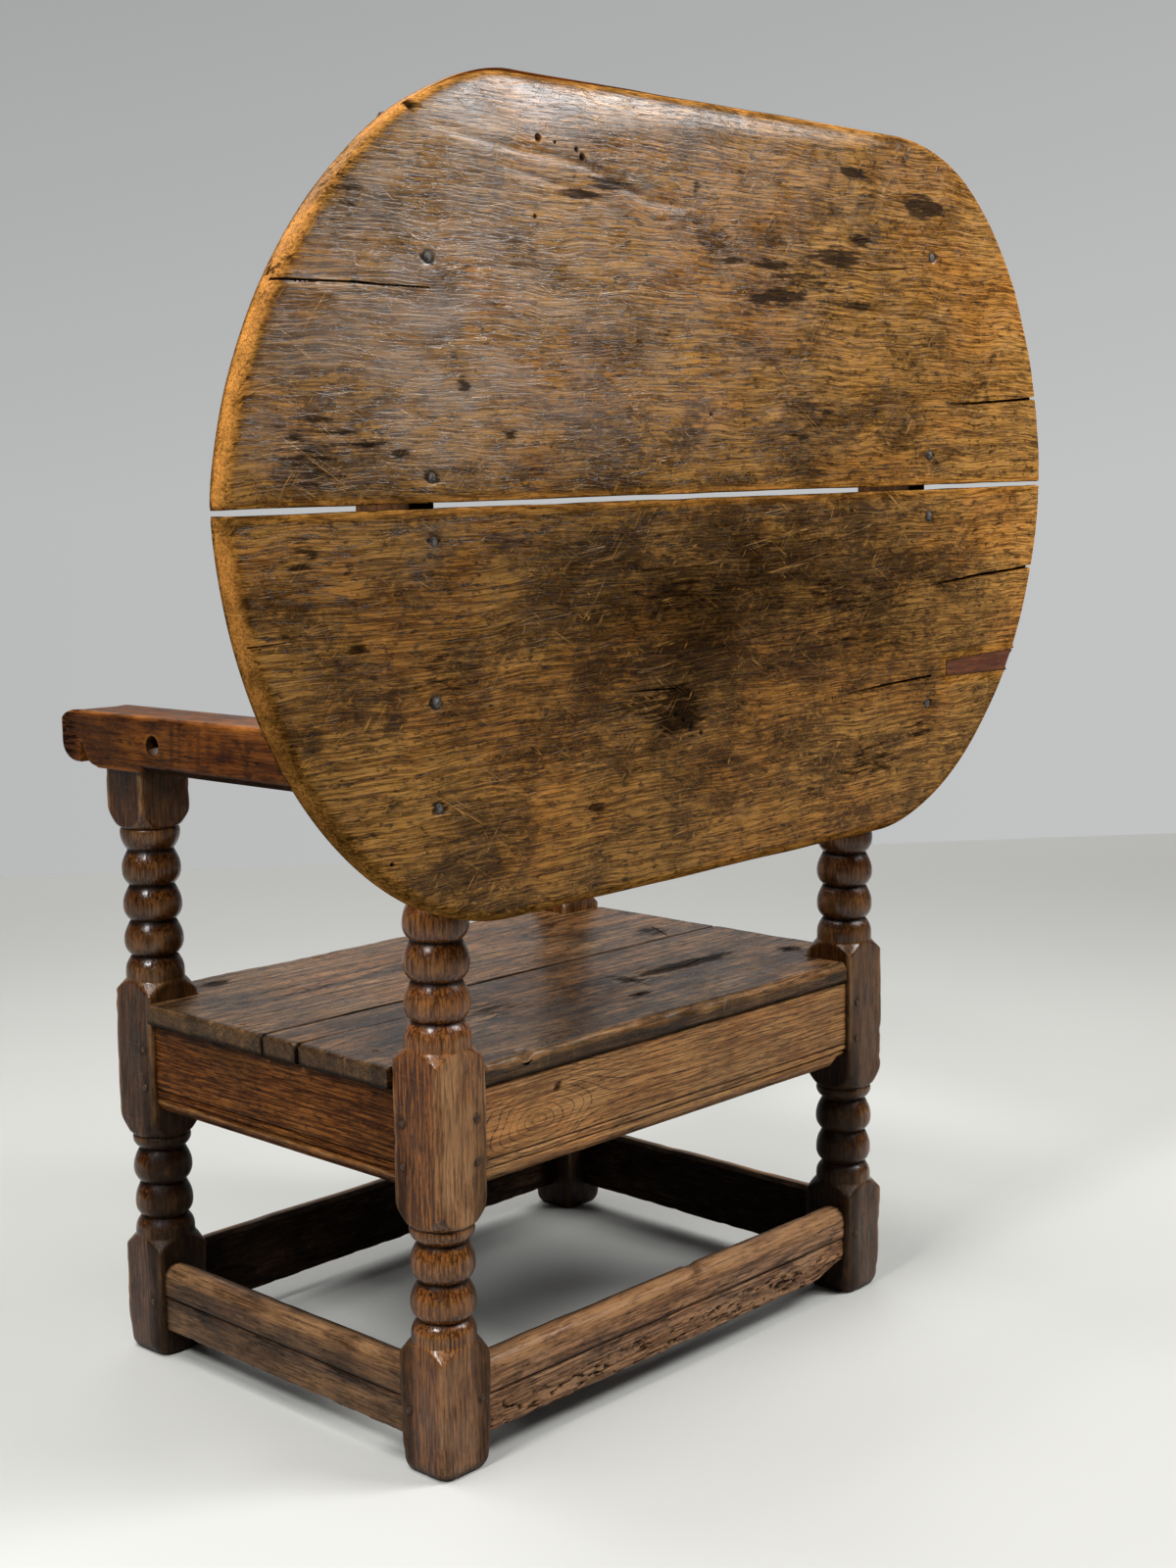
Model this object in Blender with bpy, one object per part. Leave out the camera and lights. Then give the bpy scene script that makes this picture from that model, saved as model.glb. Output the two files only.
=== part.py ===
"""Oak chair-table: a bench whose top tilts up on two pegs and becomes its back.

Metres, +Z up. The sitter faces -Y and the sitter's left is +X. The origin is on the floor, at the
middle of the part's bounding box, with the top upright.
"""
import math

import bmesh
import bpy
from mathutils import Matrix, Vector

# Gaps between pieces
FIT = 0.0003              # between pieces that are fixed together
RUN = 0.0005              # round the pivot pegs in the cleats
NOTCH_GAP = 0.001         # between a seat board and the leg that it is cut round

# Legs, from the floor up
LEG_SPAN_X = 0.735        # over the outsides of the legs, side to side
LEG_SPAN_Y = 0.536        # over the outsides of the legs, front to back
LEG_SIDE = 0.067          # side of the square blank
FOOT_BLOCK = 0.119        # square foot, up to where its corners are turned away
FOOT_WEAR = 0.004         # wear round the bottom of a foot, inwards
FOOT_WEAR_RISE = 0.012    # and upwards
SHOULDER = 0.017          # height of a turned shoulder
LONG_SHOULDER = 0.027     # height of the rounded shoulders under the two upper blocks
LOWER_BASE = 0.0215       # half bobbin that stands on the foot block
UPPER_BASE = 0.0265       # half bobbin that stands on the seat block
BOBBIN_PITCH = 0.040      # from one neck to the next
LOWER_BOBBINS = 2
UPPER_BOBBINS = 3
TAIL_BOBBIN = 0.0165      # half bobbin that hangs under the seat block
COLLAR = 0.0255           # half bobbin under the top block
SEAT_BLOCK = 0.136
TOP_BLOCK = 0.039
NECK_DEPTH = 0.0075       # how far a neck is cut in below a bobbin
TURNING_LOSS = 0.0006     # a bobbin is turned this much below the blank's faces
BASE_FLAT = 0.3           # part of a standing half bobbin that stays full
TAIL_FLAT = 0.2           # part of a hanging half bobbin that stays full
BELLY = 0.002             # fullness of the rounded shoulders under the upper blocks
BELLY_PLACE = 0.42        # where that is, as a part of the shoulder's height
LEG_TENON_R = 0.013
LEG_TENON = 0.032

# Seat rails and stretchers
SETBACK = 0.0055          # their outer faces behind those of the legs
RAIL_THICK = 0.026
RAIL_HEIGHT = 0.0985
RAIL_RISE = 0.010         # rail's lower edge above the seat block's lower corner
RAIL_LINE = 0.0225        # incised line above the rail's lower edge
RAIL_STEP = 0.0145        # step of the lower moulding above the rail's lower edge
BEAD_DEPTH = 0.0035       # how far the moulding falls back
LINE_WIDTH = 0.003
LINE_DEPTH = 0.002
STRETCHER_THICK = 0.028
STRETCHER_HEIGHT = 0.0815
STRETCHER_RISE = 0.029    # above the floor
STRETCHER_LINE = 0.0425   # incised line above the stretcher's lower edge
STRETCHER_ROUND = 0.014   # worn upper outer edge
TENON_INSET = 0.0135      # from the leg's outer face
TENON_THICK = 0.010
TENON_LENGTH = 0.039
RAIL_TENON_TRIM = 0.014   # tenon shorter than the rail, at its top and at its bottom
STRETCHER_TENON_TRIM = 0.011

# Pegs through the tenons
PEG_R = 0.004
PEG_LENGTH = 0.034
PEG_PROUD = 0.001
PEG_TAPER = 0.3           # tapered part of a peg's length
PEG_TIP = 0.6             # tip as a part of the radius
PEG_DOME = 0.8            # rounded outer end as a part of the radius
PEG_IN = 0.015            # from the leg's inner side
RAIL_PEG_SPREAD = 0.022   # the two pegs of a rail tenon, above and below its middle
STRETCHER_PEG_SHIFT = 0.006
PEG_STAGGER = 0.004       # pegs of the side tenons sit lower than those of the long ones

# Seat
SEAT_THICK = 0.024
SEAT_PAST_LEG_X = 0.004   # seat ends outside the legs
SEAT_INSIDE_LEG_Y = 0.0035
SEAT_SEAM_Y = 0.004
SEAT_SEAM = 0.0025
SEAT_ROUND = 0.006
SPLIT_Y = 0.061           # split in the left end of the rear board
SPLIT_MOUTH = 0.006
SPLIT_LENGTH = 0.075

# Arms
ARM_HEIGHT = 0.063
ARM_THICK = 0.074
ARM_OUTSIDE = 0.005       # outer face outside that of the leg
ARM_FRONT = 0.078         # front end before the legs
HOOK_UPPER = (0.033, 0.013)  # rounding of the front end above: along the arm, and down
HOOK_LOWER = (0.029, 0.023)  # and below
HOOK_RISE = 0.004         # hooked end above the arm's lower edge
HOOK_NOTCH = 0.026        # depth of the notch behind the hooked front end
HOOK_MOUTH = 0.017        # width of that notch at the bottom
HOOK_FLAT = 0.006         # flat under the hook, before the notch
NOTCH_LEAN = 0.002        # how far the notch's front side leans back
CUSP_LENGTH = 0.019       # slope from the notch to the arm's lower edge
CUSP_RISE = 0.006
REAR_EASE = 0.003         # easing of the square lower corner behind
ARM_CHAMFER = 0.009       # stopped chamfer on the lower outer edge
CHAMFER_STOP = 0.004      # from the legs
LOCK_HOLE_R = 0.0108
LOCK_HOLE_BACK = 0.0305   # hole behind the front leg

# Top
TOP_LENGTH = 1.264
TOP_WIDTH = 0.786
# Each corner of the top, by side: where the long edge stops being straight, and the roundness
TOP_CORNERS = {("left", "upper"): (0.28, 1.72), ("right", "upper"): (0.33, 2.0),
               ("left", "lower"): (0.32, 1.9), ("right", "lower"): (0.29, 1.8)}
TOP_THICK = 0.025
TOP_SEAM = 0.0045         # open gap between the two boards
TOP_SKEW = math.radians(1.13)   # the boards sit a little askew on the cleats
TOP_REST = 0.0005         # board clear of the arm
RIM_UNDER = 0.003         # rounding of the underside's edge
RIM_OVER = 0.009          # rounding of the upper edge
CLEAT_GAP = 0.005         # between cleat and arm
CLEAT_THICK = 0.032
CLEAT_DEPTH = 0.075
CLEAT_LENGTH = 0.68
CLEAT_END_SLOPE = 0.05
CLEAT_END = 0.03          # depth left at the tip of a cleat
PIVOT_R = 0.0105
PIVOT_BACK = 0.027        # pivot behind the axis of the rear leg
PIVOT_HEAD_R = 0.0155
PIVOT_HEAD = 0.008
PIVOT_PAST_ARM = 0.005
NAIL_R = 0.0024
NAIL_LENGTH = 0.039       # under the head
NAIL_HEAD_R = 0.0066
NAIL_HEAD = 0.0024
NAIL_SUNK = 0.0004        # head below the board's face
NAIL_TIP = 0.4            # tip and crown as parts of the shank's and the head's radius
NAIL_ASIDE = 0.009        # nails to the left of the cleats' middles
LEFT_NAILS = (0.210, 0.017, -0.040, -0.185, -0.282)    # along the cleat, from the top's middle
RIGHT_NAILS = (0.269, 0.044, -0.026, -0.246)
PATCH_X = 0.418           # inner end of the repair slip, from the middle
PATCH_DROP = 0.215        # slip below the top's middle
PATCH_INNER = 0.018       # its width at the inner end
PATCH_OUTER = 0.029       # and where the top ends

# Facets
LEG_SIDES = 16
PEG_SIDES = 8
PIVOT_SIDES = 16
END_STEPS = 10            # facets of a quarter of the top's outline
BOBBIN_STEPS = 4

# Levels and places that follow
HALF_X = LEG_SPAN_X / 2
HALF_Y = LEG_SPAN_Y / 2
BOBBIN_R = LEG_SIDE / 2 - TURNING_LOSS
CLEAR_R = LEG_SIDE * 0.72             # turning radius that just misses the blank's corners
LOWER_NECK = FOOT_BLOCK + SHOULDER + LOWER_BASE
LOWER_TAIL = LOWER_NECK + LOWER_BOBBINS * BOBBIN_PITCH
SEAT_BLOCK_LOW = LOWER_TAIL + TAIL_BOBBIN + LONG_SHOULDER
SEAT_BLOCK_TOP = SEAT_BLOCK_LOW + SEAT_BLOCK
UPPER_NECK = SEAT_BLOCK_TOP + SHOULDER + UPPER_BASE
UPPER_COLLAR = UPPER_NECK + UPPER_BOBBINS * BOBBIN_PITCH
TOP_BLOCK_LOW = UPPER_COLLAR + COLLAR + LONG_SHOULDER
ARM_LOW = TOP_BLOCK_LOW + TOP_BLOCK
RAIL_LOW = SEAT_BLOCK_LOW + RAIL_RISE
RAIL_TOP = RAIL_LOW + RAIL_HEIGHT
SEAT_LOW = RAIL_TOP + FIT
ARM_HALF = ARM_HEIGHT / 2
ARM_OUTER_X = HALF_X + ARM_OUTSIDE
ARM_FRONT_Y = -HALF_Y - ARM_FRONT
LOCK_Y = -HALF_Y + LEG_SIDE + LOCK_HOLE_BACK
PIVOT = Vector((0, HALF_Y - LEG_SIDE / 2 + PIVOT_BACK, ARM_LOW + ARM_HALF))
UNDERSIDE_Y = PIVOT.y + ARM_HALF + TOP_REST
TOP_FACE_Y = UNDERSIDE_Y + TOP_THICK
TOP_MIDDLE_Z = PIVOT.z + PIVOT.y      # so that the level top is centred over the legs
CLEAT_INNER_X = ARM_OUTER_X + CLEAT_GAP
CLEAT_MIDDLE_X = CLEAT_INNER_X + CLEAT_THICK / 2
NAIL_SEAT_Y = TOP_FACE_Y - NAIL_SUNK - NAIL_HEAD
SHIFT = Vector((0, -(ARM_FRONT_Y + TOP_FACE_Y) / 2, 0))


def clear_scene():
    """Take every object out of the scene."""
    for item in list(bpy.data.objects):
        bpy.data.objects.remove(item)


def material(name, colour, roughness, metallic=0.0):
    """A plain surface with one colour."""
    surface = bpy.data.materials.new(name)
    surface.use_nodes = True
    shader = surface.node_tree.nodes["Principled BSDF"]
    shader.inputs["Base Color"].default_value = (*colour, 1.0)
    shader.inputs["Roughness"].default_value = roughness
    shader.inputs["Metallic"].default_value = metallic
    return surface


def solid(name, shape):
    """Make an object of a bmesh, with its faces pointing out."""
    bmesh.ops.recalc_face_normals(shape, faces=shape.faces)
    mesh = bpy.data.meshes.new(name)
    shape.to_mesh(mesh)
    shape.free()
    piece = bpy.data.objects.new(name, mesh)
    bpy.context.collection.objects.link(piece)
    return piece


def loft(name, rings):
    """A closed solid through a stack of closed loops of points, capped at both ends."""
    shape = bmesh.new()
    loops = [[shape.verts.new(point) for point in ring] for ring in rings]
    for lower, upper in zip(loops, loops[1:]):
        for here in range(len(lower)):
            after = (here + 1) % len(lower)
            shape.faces.new((lower[here], lower[after], upper[after], upper[here]))
    shape.faces.new(loops[0])
    shape.faces.new(loops[-1])
    return solid(name, shape)


def along(axis, place, first, second):
    """A point from its place along an axis and its two other coordinates, in XYZ order."""
    if axis == "X":
        return Vector((place, first, second))
    if axis == "Y":
        return Vector((first, place, second))
    return Vector((first, second, place))


def prism(name, outline, axis, start, end):
    """An outline pushed along an axis."""
    return loft(name, [[along(axis, place, *point) for point in outline] for place in (start, end)])


def box(name, x_range, y_range, z_range):
    """A rectangular block between three pairs of limits, given in either order."""
    outline = [(x, y) for x, y in zip((x_range[0], x_range[1], x_range[1], x_range[0]),
                                      (y_range[0], y_range[0], y_range[1], y_range[1]))]
    return prism(name, outline, "Z", *z_range)


def arc(centre, radii, start, end, steps):
    """Points of an arc with two radii, at angles from the first coordinate towards the second."""
    angles = [math.radians(start + (end - start) * step / steps) for step in range(steps + 1)]
    return [(centre[0] + radii[0] * math.cos(a), centre[1] + radii[1] * math.sin(a)) for a in angles]


def turned(name, axis, centre, profile, sides):
    """A solid of revolution from pairs of radius and place along the axis."""
    rings = []
    for radius, place in profile:
        circle = arc(centre, (radius, radius), 0, 360 - 360 / sides, sides - 1)
        rings.append([along(axis, place, *point) for point in circle])
    return loft(name, rings)


def hole(name, axis, centre, radius, start, end, sides):
    """A straight round cutter."""
    return turned(name, axis, centre, [(radius, start), (radius, end)], sides)


def combine(piece, tool, operation):
    """Cut, join or intersect a piece with a tool, which is then dropped."""
    modifier = piece.modifiers.new("shape", "BOOLEAN")
    modifier.operation = operation
    modifier.solver = "EXACT"
    modifier.object = tool
    bpy.context.view_layer.update()
    graph = bpy.context.evaluated_depsgraph_get()
    shaped = bpy.data.meshes.new_from_object(piece.evaluated_get(graph))
    piece.modifiers.clear()
    piece.data = shaped
    bpy.data.objects.remove(tool)
    return piece


def cut(piece, tools):
    """Cut each tool out of a piece."""
    for tool in tools:
        combine(piece, tool, "DIFFERENCE")
    return piece


def finish(piece, surface, parent, smooth=False):
    """Give a piece its surface and hang it on its parent, keeping its place."""
    piece.data.materials.clear()
    piece.data.materials.append(surface)
    if smooth:
        piece.data.shade_smooth()
        piece.data.set_sharp_from_angle(angle=math.radians(40))
    origin = PIVOT if parent.name == "top_axis" else Vector()
    piece.data.transform(Matrix.Translation(-origin))
    piece.parent = parent


def bobbin(low, high, from_part=-1.0, to_part=1.0):
    """Radius and height pairs of a bobbin, or of a part of one (-1 and 1 are its two necks)."""
    steps = max(2, round(BOBBIN_STEPS * (to_part - from_part) / 2))
    parts = [from_part + (to_part - from_part) * step / steps for step in range(steps + 1)]
    return [(BOBBIN_R - NECK_DEPTH * part * part, low + (high - low) * (part - from_part)
             / (to_part - from_part)) for part in parts]


def standing_run(block, neck, count):
    """Pairs from the top of a block: turned shoulder, half bobbin, and the bobbins above it."""
    base = block + SHOULDER
    pairs = [(CLEAR_R, block), (BOBBIN_R, base)]
    pairs += bobbin(base + (neck - base) * BASE_FLAT, neck, 0.0, 1.0)
    for number in range(count):
        pairs += bobbin(neck + number * BOBBIN_PITCH, neck + (number + 1) * BOBBIN_PITCH)[1:]
    return pairs


def hanging_run(block, tail):
    """Pairs of a half bobbin and a rounded shoulder, up to the bottom of a block."""
    start = block - LONG_SHOULDER
    belly = (BOBBIN_R + CLEAR_R) / 2 + BELLY
    pairs = bobbin(start - tail, start - tail * TAIL_FLAT, -1.0, 0.0)[1:]
    return pairs + [(BOBBIN_R, start), (belly, start + LONG_SHOULDER * BELLY_PLACE), (CLEAR_R, block)]


def leg_profile():
    """Radius and height pairs of a leg, wide enough to miss the blank where it stays square."""
    top = ARM_LOW - FIT
    pairs = [(CLEAR_R, 0)] + standing_run(FOOT_BLOCK, LOWER_NECK, LOWER_BOBBINS)
    pairs += hanging_run(SEAT_BLOCK_LOW, TAIL_BOBBIN)
    pairs += standing_run(SEAT_BLOCK_TOP, UPPER_NECK, UPPER_BOBBINS)
    pairs += hanging_run(TOP_BLOCK_LOW, COLLAR)
    return pairs + [(CLEAR_R, top), (LEG_TENON_R, top), (LEG_TENON_R, top + LEG_TENON)]


def corner_places():
    """Name and signs of the four corners."""
    for depth, sign_y in (("front", -1), ("rear", 1)):
        for side, sign_x in (("left", 1), ("right", -1)):
            yield f"{depth}_{side}", sign_x, sign_y


def tenon_levels(low, height, trim):
    """Bottom and top of the tenon of a rail or stretcher."""
    return low + trim, low + height - trim


RAIL_TENON = tenon_levels(RAIL_LOW, RAIL_HEIGHT, RAIL_TENON_TRIM)
STRETCHER_TENON = tenon_levels(STRETCHER_RISE, STRETCHER_HEIGHT, STRETCHER_TENON_TRIM)


def peg_heights(run):
    """Heights of a corner's pegs by name, for tenons that run along X or along Y."""
    drop = PEG_STAGGER if run == "Y" else 0
    rail = sum(RAIL_TENON) / 2 - drop
    stretcher = sum(STRETCHER_TENON) / 2 + (STRETCHER_PEG_SHIFT if run == "X" else -STRETCHER_PEG_SHIFT)
    return {"rail_peg_upper": rail + RAIL_PEG_SPREAD, "rail_peg_lower": rail - RAIL_PEG_SPREAD,
            "stretcher_peg": stretcher}


def peg_line(run, sign_x, sign_y):
    """Axis, place across it and outward end and sign of the pegs of one corner's tenon."""
    in_x = HALF_X - LEG_SIDE + PEG_IN
    in_y = HALF_Y - LEG_SIDE + PEG_IN
    if run == "X":
        return "Y", sign_x * in_x, sign_y * HALF_Y, sign_y
    return "X", sign_y * in_y, sign_x * HALF_X, sign_x


def peg_hole(run, sign_x, sign_y, height):
    """Cutter for one peg, from outside the leg to the blind end of its hole."""
    axis, across, face, out = peg_line(run, sign_x, sign_y)
    ends = (face + out * LEG_SIDE, face - out * (PEG_LENGTH + FIT))
    return hole("peg_hole", axis, (across, height), PEG_R + FIT, *ends, PEG_SIDES)


def mortise(run, sign_x, sign_y, levels):
    """Cutter for the mortise of a tenon that comes in along X or along Y."""
    across = (TENON_INSET - FIT, TENON_INSET + TENON_THICK + FIT)
    depth = (LEG_SIDE - TENON_LENGTH - FIT, LEG_SIDE * 2)
    inset_x, inset_y = (depth, across) if run == "X" else (across, depth)
    x_range = [sign_x * (HALF_X - inset) for inset in inset_x]
    y_range = [sign_y * (HALF_Y - inset) for inset in inset_y]
    return box("mortise", x_range, y_range, (levels[0] - FIT, levels[1] + FIT))


def leg(name, sign_x, sign_y):
    """One leg: a square blank with worn foot, turned, mortised, and bored for its pegs."""
    centre = (sign_x * (HALF_X - LEG_SIDE / 2), sign_y * (HALF_Y - LEG_SIDE / 2))
    full = LEG_SIDE / 2
    rings = []
    for half, height in ((full - FOOT_WEAR, 0), (full, FOOT_WEAR_RISE), (full, ARM_LOW + LEG_TENON * 2)):
        corners = ((-half, -half), (half, -half), (half, half), (-half, half))
        rings.append([Vector((centre[0] + x, centre[1] + y, height)) for x, y in corners])
    piece = loft(name, rings)
    combine(piece, turned("turning", "Z", centre, leg_profile(), LEG_SIDES), "INTERSECT")
    for run in "XY":
        cut(piece, [mortise(run, sign_x, sign_y, levels) for levels in (RAIL_TENON, STRETCHER_TENON)])
        cut(piece, [peg_hole(run, sign_x, sign_y, height) for height in peg_heights(run).values()])
    return piece


def pegs(surface, parent):
    """The pegs of every corner, tapered at their blind ends."""
    for corner, sign_x, sign_y in corner_places():
        for run, tenon in (("X", "long"), ("Y", "side")):
            axis, across, face, out = peg_line(run, sign_x, sign_y)
            profile = [(PEG_R * PEG_DOME, PEG_PROUD), (PEG_R, 0), (PEG_R, -PEG_LENGTH * (1 - PEG_TAPER)),
                       (PEG_R * PEG_TIP, -PEG_LENGTH)]
            for label, height in peg_heights(run).items():
                placed = [(radius, face + out * place) for radius, place in profile]
                piece = turned(f"{label}_{corner}_{tenon}", axis, (across, height), placed, PEG_SIDES)
                finish(piece, surface, parent)


def rail_section():
    """Depth and height of a seat rail's section: incised line, step and falling bead below."""
    line = RAIL_LOW + RAIL_LINE
    step = RAIL_LOW + RAIL_STEP
    return [(0, RAIL_TOP), (0, line + LINE_WIDTH / 2), (LINE_DEPTH, line), (0, line - LINE_WIDTH / 2),
            (0, step), (BEAD_DEPTH / 2, step), (BEAD_DEPTH / 4, step - RAIL_STEP / 3),
            (BEAD_DEPTH, RAIL_LOW), (RAIL_THICK, RAIL_LOW), (RAIL_THICK, RAIL_TOP)]


def stretcher_section():
    """Depth and height of a stretcher's section: worn upper edge and an incised line."""
    top = STRETCHER_RISE + STRETCHER_HEIGHT
    line = STRETCHER_RISE + STRETCHER_LINE
    worn = (STRETCHER_ROUND, STRETCHER_ROUND)
    edge = arc((STRETCHER_ROUND, top - STRETCHER_ROUND), worn, 90, 180, 3)
    return edge + [(0, line + LINE_WIDTH / 2), (LINE_DEPTH, line), (0, line - LINE_WIDTH / 2),
                   (0, STRETCHER_RISE + FOOT_WEAR), (FOOT_WEAR, STRETCHER_RISE),
                   (STRETCHER_THICK, STRETCHER_RISE), (STRETCHER_THICK, top)]


def bar(name, run, sign, section, levels, labels):
    """A rail or stretcher between two legs: its section, a tenon at each end, peg holes."""
    half = (HALF_X, HALF_Y) if run == "X" else (HALF_Y, HALF_X)
    reach = half[0] - LEG_SIDE - FIT
    face = half[1] - SETBACK
    outline = [(sign * (face - depth), height) for depth, height in section]
    piece = prism(name, outline, run, -reach, reach)
    cheeks = [sign * (half[1] - inset) for inset in (TENON_INSET, TENON_INSET + TENON_THICK)]
    ends = (-reach - TENON_LENGTH, reach + TENON_LENGTH)
    limits = (ends, cheeks) if run == "X" else (cheeks, ends)
    combine(piece, box("tenon", *limits, levels), "UNION")
    for end in (1, -1):
        signs = (end, sign) if run == "X" else (sign, end)
        cut(piece, [peg_hole(run, *signs, peg_heights(run)[label]) for label in labels])
    return piece


def bars(surface, parent):
    """The four seat rails and the four stretchers."""
    sides = (("front", "X", -1), ("rear", "X", 1), ("left", "Y", 1), ("right", "Y", -1))
    kinds = (("rail", rail_section(), RAIL_TENON, ("rail_peg_upper", "rail_peg_lower")),
             ("stretcher", stretcher_section(), STRETCHER_TENON, ("stretcher_peg",)))
    for side, run, sign in sides:
        for kind, section, levels, labels in kinds:
            finish(bar(f"{side}_{kind}", run, sign, section, levels, labels), surface, parent)


def seat_board(name, sign, split):
    """One seat board, cut round two legs; the rear one is split at its left end."""
    end_x = HALF_X + SEAT_PAST_LEG_X
    edge_y = HALF_Y - SEAT_INSIDE_LEG_Y
    leg_x = HALF_X - LEG_SIDE - NOTCH_GAP
    leg_y = HALF_Y - LEG_SIDE - NOTCH_GAP
    seam_y = SEAT_SEAM_Y * sign + SEAT_SEAM / 2
    outline = [(end_x, seam_y)]
    if split:
        outline += [(end_x, SPLIT_Y - SPLIT_MOUTH / 2), (end_x - SPLIT_LENGTH, SPLIT_Y),
                    (end_x, SPLIT_Y + SPLIT_MOUTH / 2)]
    outline += [(end_x, leg_y), (leg_x, leg_y), (leg_x, edge_y)]
    outline += [(-x, y) for x, y in ((leg_x, edge_y), (leg_x, leg_y), (end_x, leg_y), (end_x, seam_y))]
    outline = [(x, sign * y) for x, y in outline]
    piece = prism(name, outline, "Z", SEAT_LOW, SEAT_LOW + SEAT_THICK)
    shape = bmesh.new()
    shape.from_mesh(piece.data)
    top = SEAT_LOW + SEAT_THICK
    tiny = FIT / 10
    worn = [edge for edge in shape.edges
            if all(abs(vert.co.z - top) < tiny for vert in edge.verts)
            and (all(abs(abs(vert.co.x) - end_x) < tiny for vert in edge.verts)
                 or all(abs(abs(vert.co.y) - edge_y) < tiny for vert in edge.verts))]
    bmesh.ops.bevel(shape, geom=worn, offset=SEAT_ROUND, segments=1, affect="EDGES")
    shape.to_mesh(piece.data)
    shape.free()
    return piece


def arm_outline():
    """Depth and height of an arm: hooked front, and a rear end rounded over about the pivot."""
    rear = PIVOT.y + ARM_HALF
    top = ARM_LOW + ARM_HEIGHT
    low = ARM_LOW + HOOK_RISE
    upper_middle = (ARM_FRONT_Y + HOOK_UPPER[0], top - HOOK_UPPER[1])
    lower_middle = (ARM_FRONT_Y + HOOK_LOWER[0], low + HOOK_LOWER[1])
    mouth = lower_middle[0] + HOOK_FLAT
    cusp = mouth + HOOK_MOUTH
    outline = [(rear - REAR_EASE, ARM_LOW), (rear, ARM_LOW + REAR_EASE)]
    outline += arc((PIVOT.y, PIVOT.z), (ARM_HALF, ARM_HALF), 0, 90, 6)
    outline += arc(upper_middle, HOOK_UPPER, 90, 180, 5)
    outline += arc(lower_middle, HOOK_LOWER, 180, 270, 5)
    outline += [(mouth, low), (mouth + NOTCH_LEAN, ARM_LOW + HOOK_NOTCH)]
    outline += [(cusp, ARM_LOW + CUSP_RISE), (cusp + CUSP_LENGTH, ARM_LOW)]
    return outline


def chamfer_bar(sign):
    """Cutter for the stopped chamfer: a square bar set on edge, with pointed ends."""
    edge_x = sign * ARM_OUTER_X
    reach = HALF_Y - LEG_SIDE - CHAMFER_STOP
    shape = bmesh.new()
    for end in (-reach, reach):
        shape.verts.new((edge_x, end, ARM_LOW))
        inner = end - math.copysign(ARM_CHAMFER, end)
        for x, z in ((ARM_CHAMFER, 0), (-ARM_CHAMFER, 0), (0, ARM_CHAMFER), (0, -ARM_CHAMFER)):
            shape.verts.new((edge_x + x, inner, ARM_LOW + z))
    bmesh.ops.convex_hull(shape, input=shape.verts)
    return solid("chamfer", shape)


def arm(name, sign):
    """One arm, bored for its legs' tenons, its pivot peg and the lock peg."""
    faces = (sign * (ARM_OUTER_X - ARM_THICK), sign * ARM_OUTER_X)
    through = (sign * (ARM_OUTER_X - ARM_THICK * 2), sign * (ARM_OUTER_X + ARM_THICK))
    piece = prism(name, arm_outline(), "X", *faces)
    leg_x = sign * (HALF_X - LEG_SIDE / 2)
    leg_y = HALF_Y - LEG_SIDE / 2
    depth = (ARM_LOW - LEG_TENON, ARM_LOW + LEG_TENON)
    for y in (-leg_y, leg_y):
        cut(piece, [hole("socket", "Z", (leg_x, y), LEG_TENON_R + FIT, *depth, LEG_SIDES)])
    cut(piece, [hole("pivot_hole", "X", PIVOT.yz, PIVOT_R + FIT, *through, PIVOT_SIDES)])
    cut(piece, [hole("lock_hole", "X", (LOCK_Y, PIVOT.z), LOCK_HOLE_R, *through, PIVOT_SIDES)])
    return cut(piece, [chamfer_bar(sign)])


def pivot_peg(name, sign):
    """One pivot peg, with its head outside the cleat."""
    head = CLEAT_INNER_X + CLEAT_THICK + FIT
    tip = ARM_OUTER_X - ARM_THICK - PIVOT_PAST_ARM
    profile = [(PIVOT_R * PEG_DOME, tip), (PIVOT_R, tip + PIVOT_PAST_ARM / 2), (PIVOT_R, head),
               (PIVOT_HEAD_R, head), (PIVOT_HEAD_R, head + PIVOT_HEAD / 2),
               (PIVOT_HEAD_R * PEG_DOME, head + PIVOT_HEAD)]
    return turned(name, "X", PIVOT.yz, [(radius, sign * place) for radius, place in profile], PIVOT_SIDES)


def nail_places():
    """Name, side and height of each nail."""
    for side, sign, places in (("left", 1, LEFT_NAILS), ("right", -1, RIGHT_NAILS)):
        for number, place in enumerate(places, 1):
            yield f"nail_{side}_{number}", sign * CLEAT_MIDDLE_X + NAIL_ASIDE, TOP_MIDDLE_Z + place


def nail_holes(x_sign=0):
    """Cutters for the nails' shanks and sunk heads, for one side or for both."""
    seat = NAIL_SEAT_Y - FIT
    profile = [(NAIL_R + FIT, seat - NAIL_LENGTH), (NAIL_R + FIT, seat), (NAIL_HEAD_R + FIT, seat),
               (NAIL_HEAD_R + FIT, TOP_FACE_Y + NAIL_HEAD)]
    return [turned("nail_hole", "Y", (x, z), profile, PEG_SIDES)
            for _, x, z in nail_places() if x * x_sign >= 0]


def nails(surface, parent):
    """Forged nails with faceted heads, through the boards into the cleats."""
    seat = NAIL_SEAT_Y
    profile = [(NAIL_R * NAIL_TIP, seat - NAIL_LENGTH), (NAIL_R, seat - NAIL_LENGTH * (1 - PEG_TAPER)),
               (NAIL_R, seat), (NAIL_HEAD_R, seat), (NAIL_HEAD_R, seat + NAIL_HEAD / 2),
               (NAIL_HEAD_R * NAIL_TIP, seat + NAIL_HEAD)]
    for name, x, z in nail_places():
        finish(turned(name, "Y", (x, z), profile, PEG_SIDES), surface, parent)


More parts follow.
